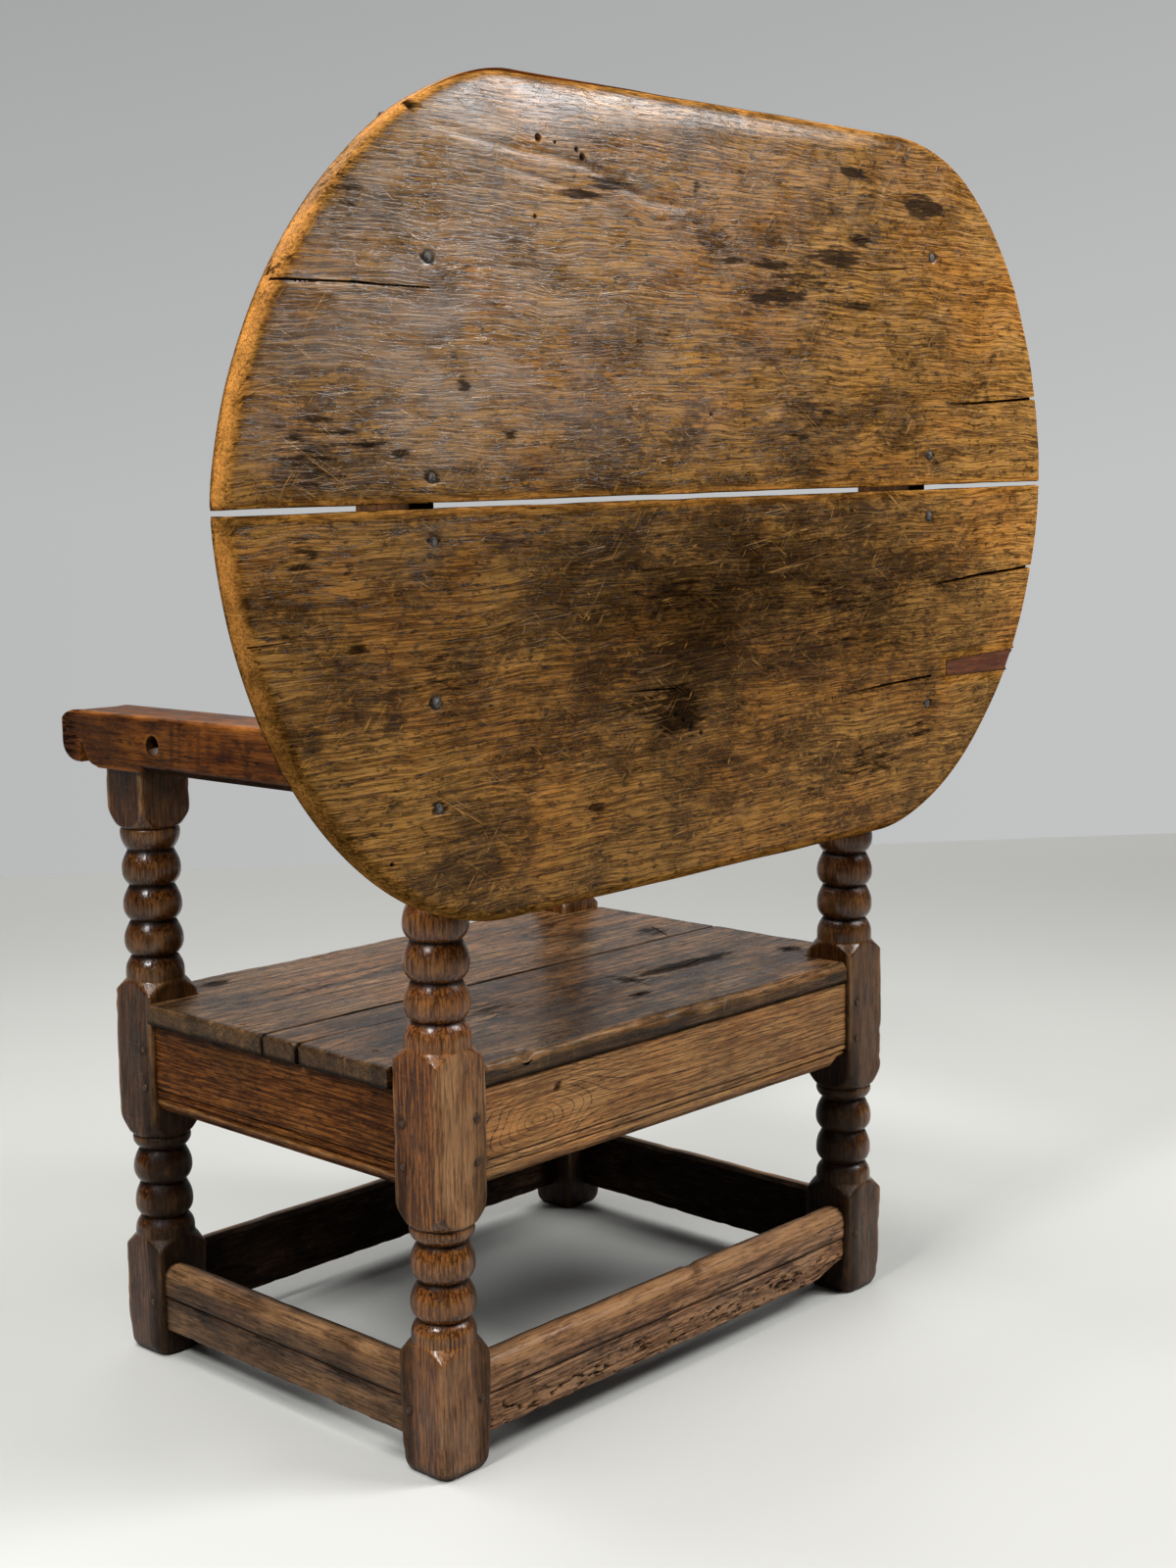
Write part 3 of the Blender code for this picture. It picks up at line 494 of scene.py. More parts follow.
def oak(name, dark, mid, light, worn, figure=0.5, mottle=0.5, pores=0.5, scratch=0.3, rough=(0.3, 0.5),
        bump=0.5, streak=(20, 380), gloss=0.25, glint_fleck=0.2, late=0.5, wander=1.6, coarse=0.4, burr=0.0,
        fall=0.0, hair_glint=0.0):
    """Old waxed oak: fibre, growth rings, pores, pale hairlines and flecks that partly paint glints, clouds,
    scratches, worn and dirty places, a grey bloom that also paints sheen and light, and painted shade where
    the dirt layer stands for it.
    """
    g = Graph(bpy.data.materials.new(name))
    place = g.attribute("grain", "Vector")
    ring, wear, dirt_and_shade, stain, shade, polish, bloom_and_painted_light = (g.attribute(key) for key in LAYERS)
    bend = g.node("ShaderNodeCombineXYZ", {1: g.noise(place, (8, 12)) * (0.035 * burr)})
    lie = g.node("ShaderNodeVectorMath", {0: place, 1: bend}, operation="ADD")
    fibre = g.noise(lie, streak, 4.0, 0.7)
    broad = g.noise(lie, (streak[0] * 0.35, streak[1] * 0.22), 3.0, 0.6)
    fine = g.noise(lie, (48, 560), 3.0, 0.65)
    thread = g.noise(lie, (13, 480))
    stray = g.noise(place, (5, 45), 3.0)
    glint = g.noise(place, (42, 640, 420), 2.0, 0.6, 0.2)
    cloud = g.noise(place, (9, 17), 7.0, 0.72, 0.3)
    speck = g.noise(place, (55, 120), 5.0, 0.72)
    smear = g.noise(place, (26, 190), 5.0, 0.66)
    rub = g.noise(place, (16, 30), 4.0, 0.6)
    hue = g.noise(place, (5, 9), 3.0, 0.6)
    curl = g.noise(place, (52, 88), 6.0, 0.74, 0.9)
    phase = g.math("FRACT", ring + stray * wander)
    line = phase.rise(0.0, late, 1.0, 0.0) * fine.rise(0.35, 0.55, 0.3, 1.0)
    pore = fine.rise(0.53, 0.61) * line.times(0.5, 0.5)
    marks = scratches(g, place) * cloud.rise(0.38, 0.56)
    tone = broad.times(coarse, fibre * (1 - coarse))
    murk = shade.times(0.10, (curl - 0.5).times(burr, cloud)).rise(0.43, 0.61)
    # Pale flecks along the grain, partly pale fibre and partly painted glints
    glint_flecks = glint.rise(0.58, 0.68) * rub.rise(0.42, 0.6)
    # Pale hairlines where the wax is polished: partly painted highlights on the grain
    thread = thread.rise(0.55, 0.61, 0.0, hair_glint) * rub.rise(0.36, 0.56, 0.25, 1.0)
    thread = thread * polish.rise(0.0, 0.2, 0.35, 1.0)
    worn_share = (wear * rub.rise(0.38, 0.58, 0.35, 1.0)).held()
    worn_share = (worn_share * tone.rise(0.42, 0.55, 0.5, 1.0)).held()
    worn_share = (worn_share * pore.times(-0.7 * pores, 1.0)).held()
    blot = (smear - 0.5).times(2.0, stain).rise(0.32, 0.58) * stain.rise(0.02, 0.25)
    # Dirt, and painted shade where the dirt layer stands for it
    dirt_and_shade_amount = (dirt_and_shade * speck.rise(0.3, 0.52, 0.78, 1.0)).held()

    colour = g.mix(tone.rise(0.43, 0.57), mid, light)
    colour = g.mix(hue.rise(0.42, 0.6, 0.0, 0.5), colour, g.mix(1.0, colour, WARM, "MULTIPLY"))
    for share, coat in ((line * figure, dark),
                        (murk * mottle, dark),
                        (speck.rise(0.54, 0.62) * mottle, tint(dark, 0.6)),
                        (glint_flecks * glint_fleck, tint(light, 1.8)),
                        (curl.rise(0.54, 0.66, 0.0, 0.6 * burr), tint(light, 1.25)),
                        (pore * pores, tint(dark, 0.35)),
                        (thread, tint(light, 1.3, 0.04))):
        colour = g.mix(share, colour, coat)
    # Darker by the shade layer: the wood's tone, and in places painted shade and light
    colour = g.mix(1.0, colour, shade.times(-0.45, 1.0), "MULTIPLY")
    # Wear, grey bloom that also paints sheen and light, stains, scratches, pale marks, and dirt that also
    # paints shade
    for share, coat in ((worn_share, worn),
                        ((bloom_and_painted_light * rub.rise(0.35, 0.62, 0.4, 1.4)).held(), BLOOM_AND_LIGHT_GREY),
                        (blot * 0.88, tint(dark, 0.3)),
                        ((marks * scratch).held(), tint(light, 1.8)),
                        (stain.rise(-0.1, -0.8) * 0.75, tint(light, 2.2)),
                        (dirt_and_shade_amount, DIRT_AND_SHADE_BLACK)):
        colour = g.mix(share, colour, coat)

    dull = blot.times(0.2, pore * 0.15 + dirt_and_shade_amount * 0.35)
    satin = rub.times(0.6, fibre * 0.4).rise(0.38, 0.62, *rough) * polish.times(-0.55, 1.0)
    height = marks.times(-0.9, line.times(-0.3, fibre.times(0.5, pore * -0.6)))
    height = thread.times(0.6, rub.times(0.8, height))
    relief = polish.highest(0.0).times(-0.3 * bump, bump)
    shine = polish.times(gloss, gloss) * dirt_and_shade_amount.highest(blot).times(-0.8, 1.0)
    shine = shine * shade.highest(0.0).times(-fall, 1.0)
    g.feed(g.shader, {"Base Color": colour, "Roughness": (satin + dull).held(),
                      "Normal": g.bump(relief, GRAIN_DEPTH, height), "Specular IOR Level": shine.held()})
    return g.owner


def scratches(g, place):
    """Fine scratches that run a few ways across a board."""
    ways = []
    for angle, length in ((7, 4.5), (-31, 7.0), (52, 8.0)):
        inputs = {"Vector": place, "Angle": math.radians(angle)}
        way = g.node("ShaderNodeVectorRotate", inputs, rotation_type="Z_AXIS")
        gap = g.math("ABSOLUTE", g.noise(way, (length, 170, 6), 1.0, 0.4) - 0.5)
        broken = g.noise(way, (length * 4, 70, 6), 1.0)
        ways.append(gap.rise(0.0, 0.012, 1.0, 0.0) * broken.rise(0.54, 0.62))
    return functools.reduce(Field.highest, ways)


def iron(name):
    """Forged iron, dark and pitted, with a rubbed crown."""
    g = Graph(bpy.data.materials.new(name))
    place = g.attribute("grain", "Vector")
    grit = g.noise(place, (900, 900), 3.0, 0.6)
    rust = g.noise(place, (260, 260), 3.0, 0.6)
    colour = g.mix(rust.rise(0.4, 0.65), (0.016, 0.014, 0.013), (0.040, 0.020, 0.011))
    # Rubbed, paler crown that also paints the head's highlight
    crown = g.attribute("wear").rise(0.35, 0.95) * rust.rise(0.42, 0.56)
    g.feed(g.shader, {"Base Color": g.mix(crown, colour, (0.13, 0.115, 0.10)), "Metallic": 0.4,
                      "Roughness": grit.rise(0.3, 0.7, 0.58, 0.8), "Normal": g.bump(0.5, 0.0004, grit)})
    return g.owner


FRAME_OAK = oak("frame_oak", (0.012, 0.003, 0.0008), (0.064, 0.019, 0.0036), (0.215, 0.080, 0.018),
                (0.430, 0.225, 0.095), figure=0.65, pores=0.95, scratch=0.1, rough=(0.12, 0.24), bump=0.3,
                streak=(20, 360), gloss=0.22, coarse=0.2)
RAIL_OAK = oak("rail_oak", (0.022, 0.008, 0.002), (0.180, 0.081, 0.026), (0.440, 0.230, 0.084),
               (0.380, 0.190, 0.065), figure=0.9, mottle=0.22, pores=0.9, scratch=0.1, rough=(0.3, 0.46),
               streak=(12, 460), gloss=0.16, late=0.24, wander=0.7, coarse=0.25)
SEAT_OAK = oak("seat_oak", (0.008, 0.003, 0.001), (0.084, 0.038, 0.014), (0.262, 0.138, 0.056),
               (0.540, 0.280, 0.105), figure=0.95, mottle=0.75, pores=0.95, scratch=0.2, rough=(0.16, 0.34),
               streak=(16, 400), gloss=0.15, late=0.42, wander=1.0, coarse=0.3)
ARM_OAK = oak("arm_oak", (0.012, 0.003, 0.0008), (0.066, 0.017, 0.002), (0.160, 0.052, 0.008),
              (0.420, 0.140, 0.024), figure=0.35, mottle=0.65, pores=0.6, scratch=0.15, rough=(0.24, 0.4),
              gloss=0.09)
TOP_OAK = oak("top_oak", (0.022, 0.008, 0.0014), (0.108, 0.045, 0.0075), (0.370, 0.181, 0.040),
              (0.640, 0.265, 0.055), mottle=0.8, pores=0.9, scratch=0.45, rough=(0.12, 0.32), bump=0.35,
              streak=(20, 540), gloss=0.24, glint_fleck=0.3, late=0.45, coarse=0.2, burr=0.6, fall=0.6, hair_glint=0.45)
STRETCHER_OAK = oak("stretcher_oak", (0.009, 0.004, 0.002), (0.072, 0.033, 0.015), (0.240, 0.132, 0.070),
                    (0.370, 0.195, 0.085), figure=0.6, pores=0.95, scratch=0.1, rough=(0.26, 0.42), bump=0.4,
                    streak=(16, 420), gloss=0.13, coarse=0.3)
CLEAT_OAK = oak("cleat_oak", (0.020, 0.007, 0.003), (0.070, 0.028, 0.009), (0.130, 0.056, 0.020),
                (0.160, 0.075, 0.028), pores=0.6, scratch=0.15, rough=(0.42, 0.6), gloss=0.2)
PATCH_OAK = oak("patch_oak", (0.036, 0.009, 0.003), (0.105, 0.027, 0.008), (0.200, 0.060, 0.018),
                (0.280, 0.100, 0.032), figure=0.4, mottle=0.3, pores=0.6, scratch=0.15, rough=(0.3, 0.45))
PEG_OAK = oak("peg_oak", (0.008, 0.004, 0.002), (0.030, 0.015, 0.007), (0.062, 0.033, 0.016),
              (0.085, 0.048, 0.026), figure=0.3, mottle=0.4, scratch=0.1, rough=(0.35, 0.55))
NAIL_IRON = iron("nail_iron")


def turning():
    """Heights and radii of a leg's turned outline, wide where the blank stays square."""
    rows = [(0, SQUARE_R), (FOOT_TOP - 0.002, SQUARE_R)]
    for low, necks, tail, high in ((FOOT_TOP, LOWER_NECKS, TAIL_TOP, SEAT_BLOCK[0]),
                                   (SEAT_BLOCK[1], UPPER_NECKS, COLLAR_TOP, TOP_BLOCK_LOW)):
        base = low + SHOULDER
        rows += [(low, CLEAR_R), (base - 0.0012, BOBBIN_R + 0.0006), (base, BOBBIN_R)]
        spans = [(base + (necks[0] - base) * 0.25, necks[0], 0.0, 1.0)]
        spans += [(start, end, -1.0, 1.0) for start, end in zip(necks, necks[1:])]
        spans += [(necks[-1], tail - 0.004, -1.0, 0.0)]
        for start, end, first, last in spans:
            for part in np.linspace(first, last, 17):
                share = (part - first) / (last - first)
                lean = part + 0.16 * (1 - part * part) if first < 0 < last else part
                rows.append((start + (end - start) * share, BOBBIN_R - NECK_DEPTH * abs(lean) ** 2.3))
        rows += [(tail - 0.0016, BOBBIN_R - 0.0004), (tail, BOBBIN_R - 0.0022),
                 (tail + 0.0012, BOBBIN_R - 0.0002)]
        for part in np.linspace(0.1, 1, 10):
            swell = BOBBIN_R + (CLEAR_R - BOBBIN_R) * math.sin(part * math.pi / 2) ** 0.9
            rows.append((tail + (high + BELLY - tail) * part, swell))
        rows.append((high + BELLY + 0.002, SQUARE_R))
    rows.append((1.0, SQUARE_R))
    return np.array(sorted(rows))


def leg(corner, seed):
    """One leg: a square blank with worn corners, turned to bobbins between its blocks, and bleached on
    its rear face."""
    low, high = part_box(f"{corner}_leg")
    centre = (low + high) / 2
    half = (high.x - low.x) / 2
    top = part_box("left_arm")[0].z
    levels = [0, 0.0008, 0.0025, 0.005, 0.009]
    while levels[-1] < top - 0.002:
        z = levels[-1]
        square = SEAT_BLOCK[0] + 0.002 < z < SEAT_BLOCK[1] - 0.004
        square = square or z < FOOT_TOP - 0.004 or z > TOP_BLOCK_LOW + 0.002
        levels.append(min(z + (0.0042 if square else 0.0013), top))
    part = np.linspace(-1, 1, 24, endpoint=False)
    quarter = 45 * np.sign(part) * abs(part) ** 1.6
    angles = np.radians(np.concatenate([45 + 90 * turn + quarter for turn in range(4)]))
    z, angle = (grid.ravel() for grid in np.meshgrid(levels, angles, indexing="ij"))
    cos, sin = np.cos(angle), np.sin(angle)
    offset = seed * np.array([3.7, 1.9, 0.8])
    slow = noise(1, cos * 1.4, sin * 1.4, z * 26, shift=offset)
    fast = noise(2, cos * 5, sin * 5, z * 90, shift=offset)
    turn = np.interp(z, *turning().T) + 0.0006 * noise(3, z * 30, shift=offset)
    worn = 0.0005 * (1 + slow) + 0.0003 * np.maximum(fast, 0)
    foot = 0.0045 * np.maximum(1 - z / (0.010 + 0.004 * slow), 0) ** 2
    power = 26 - 9 * np.maximum(slow, 0) - 12 * np.maximum(fast - 0.2, 0)
    power = power + (5.5 - power) * smooth(0.085, 0.0, z)
    square = (half - worn - foot) * (abs(cos) ** power + abs(sin) ** power) ** (-1 / power)
    soft = 0.0022
    blend = np.maximum(soft - abs(turn - square), 0) / soft
    radius = np.minimum(turn, square) - blend ** 2 * soft / 4
    radius -= 0.00035 * np.maximum(fast, 0) + 0.0002 * slow
    points = np.column_stack([centre.x + radius * cos, centre.y + radius * sin, z])

    block = smooth(0.002, 0.006, turn - square + 0.004)
    neck = smooth(0.0048, 0.0072, BOBBIN_R - turn)
    edge = smooth(0.97, 0.995, abs(cos * sin) * 2)
    inner = np.maximum(-np.sign(centre.x) * cos, -np.sign(centre.y - MIDDLE_Y) * sin)
    under = smooth(SEAT_BLOCK[1] + 0.01, SEAT_BLOCK[0] - 0.03, z)
    collar = np.minimum(abs(z - TAIL_TOP), abs(z - COLLAR_TOP))
    # Darker in the necks, at the collars, at the floor and on the inner faces under the seat: painted shade
    dirt_and_shade = most(0.92 * neck, 0.8 * smooth(0.012, 0, z), 0.75 * smooth(0.0016, 0.0004, collar),
                LEG_UNDER_SEAT_SHADE * under * smooth(0.1, 0.6, inner))
    rear = smooth(0.72, 0.80, sin) * block * (0.85 + 0.3 * slow) * (0.4 + 0.6 * smooth(0.10, 0.25, z))
    wear = most(0.55 * block * edge, 0.25 * (1 - block) * smooth(0.0035, 0.0, BOBBIN_R - turn),
                LEG_BLEACH[corner] * rear)
    for name in frame["nodes"]:
        if "_peg_" in name and f"_{corner}_" in name:
            low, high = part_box(name)
            middle = (low + high) / 2
            axis = 0 if high.x - low.x > high.y - low.y else 1
            side = (points[:, axis] - centre[axis]) * (middle[axis] - centre[axis]) > 0
            away = np.hypot(points[:, 1 - axis] - middle[1 - axis], z - middle.z)
            dirt_and_shade = np.maximum(dirt_and_shade, 0.75 * smooth(0.0075, 0.0045, away) * side)
    local = np.column_stack([z + seed, points[:, 0] - centre.x, points[:, 1] - centre.y])
    pith = 0.045 * math.cos(seed * 2.1), 0.045 * math.sin(seed * 2.1)
    ring = np.hypot(local[:, 1] - pith[0], local[:, 2] - pith[1] + 0.012 * z) / 0.0042 + 0.5 * slow
    # The top blocks are darkened as painted shadow under the arms
    shade = LEG_SHADE[corner] + 0.6 * smooth(COLLAR_TOP + 0.02, TOP_BLOCK_LOW + 0.02, z)
    layers = {"grain": local, "ring": ring, "wear": wear, "dirt_and_shade": dirt_and_shade, "shade": shade,
              "stain": 0.35 * np.maximum(slow - 0.45, 0), "polish": 0.4 * (1 - block),
              "bloom_and_painted_light": 0.08 * smooth(0.15, 0.06, z)}
    piece(f"{corner}_leg", "frame", FRAME_OAK, points, skin(len(levels), len(angles)), layers)


def rail_shape(s, depth, height, face, offset, knot=None, stop=None):
    """Wear and painted shade of a seat rail. A knot draws the rings round it; a stop ends the moulding early.
    """
    incised = smooth(0.0015, 0.0003, abs(height - RAIL_LINE))
    incised += smooth(0.0013, 0.0003, abs(height - RAIL_QUIRK))
    # Painted shade in the incised lines, darker along the bottom edge, and a painted shadow under the seat
    # board along the top
    dirt_and_shade = most(face * 0.85 * incised, 0.6 * smooth(0.0038, 0.0028, height),
                0.8 * smooth(0.0950, 0.0970, height))
    wear = face * 0.6 * smooth(0.0030, 0.0, abs(height - RAIL_BEAD))
    stain = 0.0
    bend = 0.004 * np.sin(s * 9 + offset[0]) + 0.02 * s
    flow = (height + bend) / RAIL_RING
    if knot:
        long, tall = 0.080, 0.033
        along = (s - knot[0] - 0.026) / long
        along += 0.22 * noise(12, s * 24, height * 40, shift=offset)
        across = (height + 0.4 * bend - knot[1] + 0.027) / tall
        across += 0.16 * noise(13, s * 16, height * 30, shift=offset)
        away = np.maximum(along ** 2 + across ** 2, 1e-6)
        flow = np.where(away > 1, across * (1 - 1 / away) * tall / RAIL_RING, (np.sqrt(away) - 1) * 6.5)
        eye = np.hypot((s - knot[0]) * 0.8 + (height - knot[1]) * 0.5, height - knot[1])
        stain = 0.62 * smooth(0.009, 0.002, eye)
        depth = depth + face * 0.0008 * smooth(0.006, 0.001, eye)
    if stop is not None:
        moulding = 0.0165
        share = smooth(stop + 0.024, stop + 0.004, s) * (height < moulding)
        height = height + share * (moulding - height) * 0.45
        depth = depth + share * face * 0.002
    return depth, height, dirt_and_shade, wear, stain, flow


def stretcher_shape(s, depth, height, face, offset, pitted=0.0, notch=None, corner=None, rubbed=0.9):
    """Wear of a stretcher: a wavy upper edge, a broken lower one, and worm tracks above it."""
    wave = noise(5, s * 9, shift=offset)
    chip = noise(6, s * 38, shift=offset)
    worn = 0.0016 * (1 + wave) + 0.0012 * np.maximum(chip, 0)
    height = height - smooth(0.058, STRETCHER_TOP, height) * worn
    ragged = noise(7, s * 70, height * 60, depth * 60, shift=offset)
    height = height + smooth(0.008, 0, height) * (0.0012 * (1 + wave) + 0.0016 * np.maximum(ragged, 0))
    # Painted shade in the groove; the worm tracks below are darkened with dirt and painted shade
    dirt_and_shade = face * 0.85 * smooth(0.0022, 0.0005, abs(height - STRETCHER_LINE))
    pale = 0.25 * (1 + chip) * smooth(0.04, 0.06, height) + 0.3 * (1 + wave) * smooth(0.036, 0.026, height)
    wear = face * (rubbed * smooth(0.060, 0.073, height) + pale)
    track = noise(8, s * 85, height * 430, shift=offset) + 0.6 * noise(9, s * 210, height * 640, shift=offset)
    reach_up = 0.028 + 0.008 * wave
    pit = face * pitted * smooth(reach_up + 0.008, reach_up - 0.004, height) * smooth(0.18, 0.66, track)
    depth = depth + 0.0030 * pit
    dirt_and_shade = np.maximum(dirt_and_shade, 0.8 * pit)
    if notch is not None:
        bite = smooth(0.013, 0.003, abs(s - notch)) * smooth(0.066, 0.08, height)
        height = height - 0.0018 * bite
        dirt_and_shade = np.maximum(dirt_and_shade, 0.4 * bite)
    if corner is not None:
        raised = smooth(corner + 0.06, corner - 0.008, s) * np.maximum(1 - height / 0.03, 0)
        height = height + 0.016 * raised ** 1.3
    return depth, height, dirt_and_shade, wear, 0.35 * np.maximum(wave - 0.4, 0), None


# Section, wear, and the dirt and painted shade of the hidden sides
BAR_FORMS = {"rail": (RAIL_FRONT, RAIL_BACK, rail_shape, 0.85),
             "stretcher": (STRETCHER_FRONT, STRETCHER_BACK, stretcher_shape, 0.8)}
# Steps along and round the section, finish and marks
BARS = (("front_rail", (50, 0.004), RAIL_OAK, {}),
        ("right_rail", (50, 0.004), RAIL_OAK, {}),
        ("left_rail", (110, 0.002), FRAME_OAK, {"shade": -0.15, "polish": -0.8}),
        ("rear_rail", (170, 0.002), RAIL_OAK,
         {"glow": (0.22, 0.14, 0.55), "knot": (0.195, 0.077), "stop": -0.297}),
        ("front_stretcher", (90, 0.004), STRETCHER_OAK, {"shade": 0.4, "pitted": 0.4}),
        ("right_stretcher", (60, 0.004), STRETCHER_OAK, {"shade": 0.4, "pitted": 0.4}),
        ("left_stretcher", (150, 0.0022), STRETCHER_OAK, {"shade": 0.75, "pitted": 0.25, "rubbed": 0.4}),
        ("rear_stretcher", (300, 0.0017), STRETCHER_OAK,
         {"shade": -1.4, "pitted": 1.0, "notch": -0.033, "corner": -0.290}))


def bar(node, steps, surface, seed, shade=0.0, polish=0.0, glow=None, **marks):
    """A rail or stretcher between two legs, lofted along its length and then worn to shape. A glow
    lightens it about one place."""
    side, kind = node.split("_")
    front, back, shape, dirt_and_shade_amount = BAR_FORMS[kind]
    low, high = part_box(node)
    axis = 0 if side in ("front", "rear") else 1
    sign = 1 if side in ("rear", "left") else -1
    outer = (high if sign > 0 else low)[1 - axis]
    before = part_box("front_left_leg" if axis else "rear_right_leg")[1][axis]
    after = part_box("rear_left_leg")[0][axis]
    front_line = resample(front, steps[1])
    section = np.concatenate([front_line, resample([front[-1], *back, front[0]], 0.008)[1:-1]])
    along = np.linspace(before - 0.0006, after + 0.0006, steps[0])
    s, depth = (grid.ravel() for grid in np.meshgrid(along, section[:, 0], indexing="ij"))
    height = np.tile(section[:, 1], len(along))
    face = np.tile(np.arange(len(section)) < len(front_line), len(along))
    offset = seed * np.array([5.3, 2.7, 1.1])
    depth = depth + face * 0.00045 * (1 + noise(4, s * 14, height * 40, depth * 40, shift=offset))
    depth, height, dirt_and_shade, wear, stain, flow = shape(s, depth, height, face, offset, **marks)
    # Hidden sides darkened, and the ends darker at the legs: painted shade
    joint = np.minimum(s - before, after - s)
    dirt_and_shade = most(dirt_and_shade, np.where(face, 0, dirt_and_shade_amount), 0.85 * smooth(0.0036, 0.0010, joint))
    across = outer - sign * depth
    points = np.column_stack([across, s, low.z + height] if axis else [s, across, low.z + height])
    if flow is None:
        pith = 0.075 + 0.02 * math.sin(seed * 3)
        ring = np.hypot(height - (high.z - low.z) * 0.5, depth + pith + 0.06 * s) / 0.0065
    else:
        ring = flow + depth / 0.004
    if glow:
        shade = shade - glow[2] * bell(s - glow[0], glow[1])
    grain = np.column_stack([s + seed * 1.7, height, depth])
    layers = {"grain": grain, "ring": ring, "wear": wear, "dirt_and_shade": dirt_and_shade, "stain": stain, "shade": shade,
              "polish": polish}
    piece(node, "frame", surface, points, skin(len(along), len(section)), layers)


def board_layers(points, gap, zones, seed, spacing, centre, slope, rim):
    """Grain, rings and wear of a flat-sawn board given as along, across and up."""
    along, across, up = points.T
    offset = seed * np.array([4.1, 2.3, 0.9])
    depth = 0.09 + slope * along + 0.02 * noise(10, along * 3.0, across * 9, shift=offset) - up
    rub = noise(11, *(points * 30).T, shift=offset)
    wear = np.where(zones == WALLS, 0.75, 0.1)
    wear = np.where(zones == FACE, smooth(rim, 0, gap) * (0.6 + 0.4 * rub), wear)
    return {"grain": points + offset, "ring": np.hypot(across - centre, depth) / spacing, "wear": wear}


def groove(width, depth, ends, *line):
    """A groove in millimetres: its half width, its depth, its strength at both ends and its line."""
    return mm(line), width / 1000, depth / 1000, ends


def carve(points, zones, layers, grooves, pits):
    """Cut grooves and pits into a board's face, dark inside with dirt and painted shade."""
    flat = points[:, :2]
    for line, width, depth, ends in grooves:
        gap, strength = line_distance(flat, line, ends)
        deep = (zones != BACK) * smooth(width * strength, width * strength * 0.25, gap)
        points[:, 2] -= deep * depth * strength * (zones == FACE)
        lift(layers, "dirt_and_shade", 0.95 * deep)
    for *middle, radius, depth in pits:
        deep = (zones == FACE) * smooth(radius, radius * 0.35, np.linalg.norm(flat - middle, axis=1))
        points[:, 2] -= deep * depth
        lift(layers, "dirt_and_shade", 0.9 * deep)


def dense_points(grooves, pits):
    """Points that a mesh needs to show its grooves and pits."""
    made = []
    for line, width, _, _ in grooves:
        centre = resample(line, 0.0025)
        run = np.gradient(centre, axis=0)
        run /= np.linalg.norm(run, axis=1, keepdims=True)
        side = np.stack([-run[:, 1], run[:, 0]], 1)
        made += [centre + side * width * share for share in (-2.0, -1.0, -0.3, 0.3, 1.0, 2.0)]
    for *middle, radius, _ in pits:
        made += [arc(middle, (radius * share,) * 2, 0, 330, 11) for share in (0.35, 0.7, 1.0, 1.5)]
        made.append(np.array([middle]))
    return np.concatenate(made)


# Units of a mark's row: its middle and half sizes in millimetres, and its strength
MARK_UNITS = (1000, 1000, 1000, 1000, 1)


def stains(flat, marks):
    """Strength of soft elliptical stains, the strongest at each point."""
    total = np.zeros(len(flat))
    for u, w, wide, tall, strength in np.array(marks) / MARK_UNITS:
        soft = strength * np.exp(-1.2 * np.hypot((flat[:, 0] - u) / wide, (flat[:, 1] - w) / tall) ** 2)
        total = np.where(abs(soft) > abs(total), soft, total)
    return total


def tones(flat, marks):
    """Sum of broad soft spots."""
    return sum(strength * bell(flat[:, 0] - u, wide) * bell(flat[:, 1] - w, tall)
               for u, w, wide, tall, strength in np.array(marks) / MARK_UNITS)


def place(points, origin, axes):
    """World places of local points."""
    return np.array(origin) + points @ np.array(axes)


# Top: marks on the face of its upper board, 1, and its lower one, -1, from the middle of the whole top
TOP_GROOVES = {1: [groove(1.1, 6, (1.3, 0.5), (590, 190), (487, 192), (454, 191), (398, 191)),
                   groove(1.9, 16, (1, 0.25), (-645, 106), (-560, 101), (-458, 96), (-376, 96)),
                   groove(0.8, 3, (0.4, 1), (-197, 240), (-270, 241), (-337, 246))],
               -1: [groove(2.2, 18, (1, 0.25), (-640, -101), (-560, -105), (-497, -107), (-335, -118)),
                    groove(0.7, 1.2, (1, 0.4), (-335, -118), (-267, -129), (28, -160), (178, -155)),
                    groove(1.6, 9, (1, 0.3), (-385, -221), (-300, -223.5), (-191, -229)),
                    groove(1.2, 3, (0.5, 1), (150, -191), (76, -194)),
                    groove(0.9, 3, (1, 0.4), (640, -112), (568, -110))]}
# Shallow creases that catch the light
TOP_CREASES = {1: [groove(4.5, 1, (0.5, 1), (389, 333), (318, 323), (189, 313), (106, 288), (47, 285)),
                   groove(4, 0.6, (1, 0.5), (300, 305), (220, 292), (130, 270)),
                   groove(7, 2.2, (1, 0.3), (612, 199), (540, 198), (460, 195))],
               -1: []}
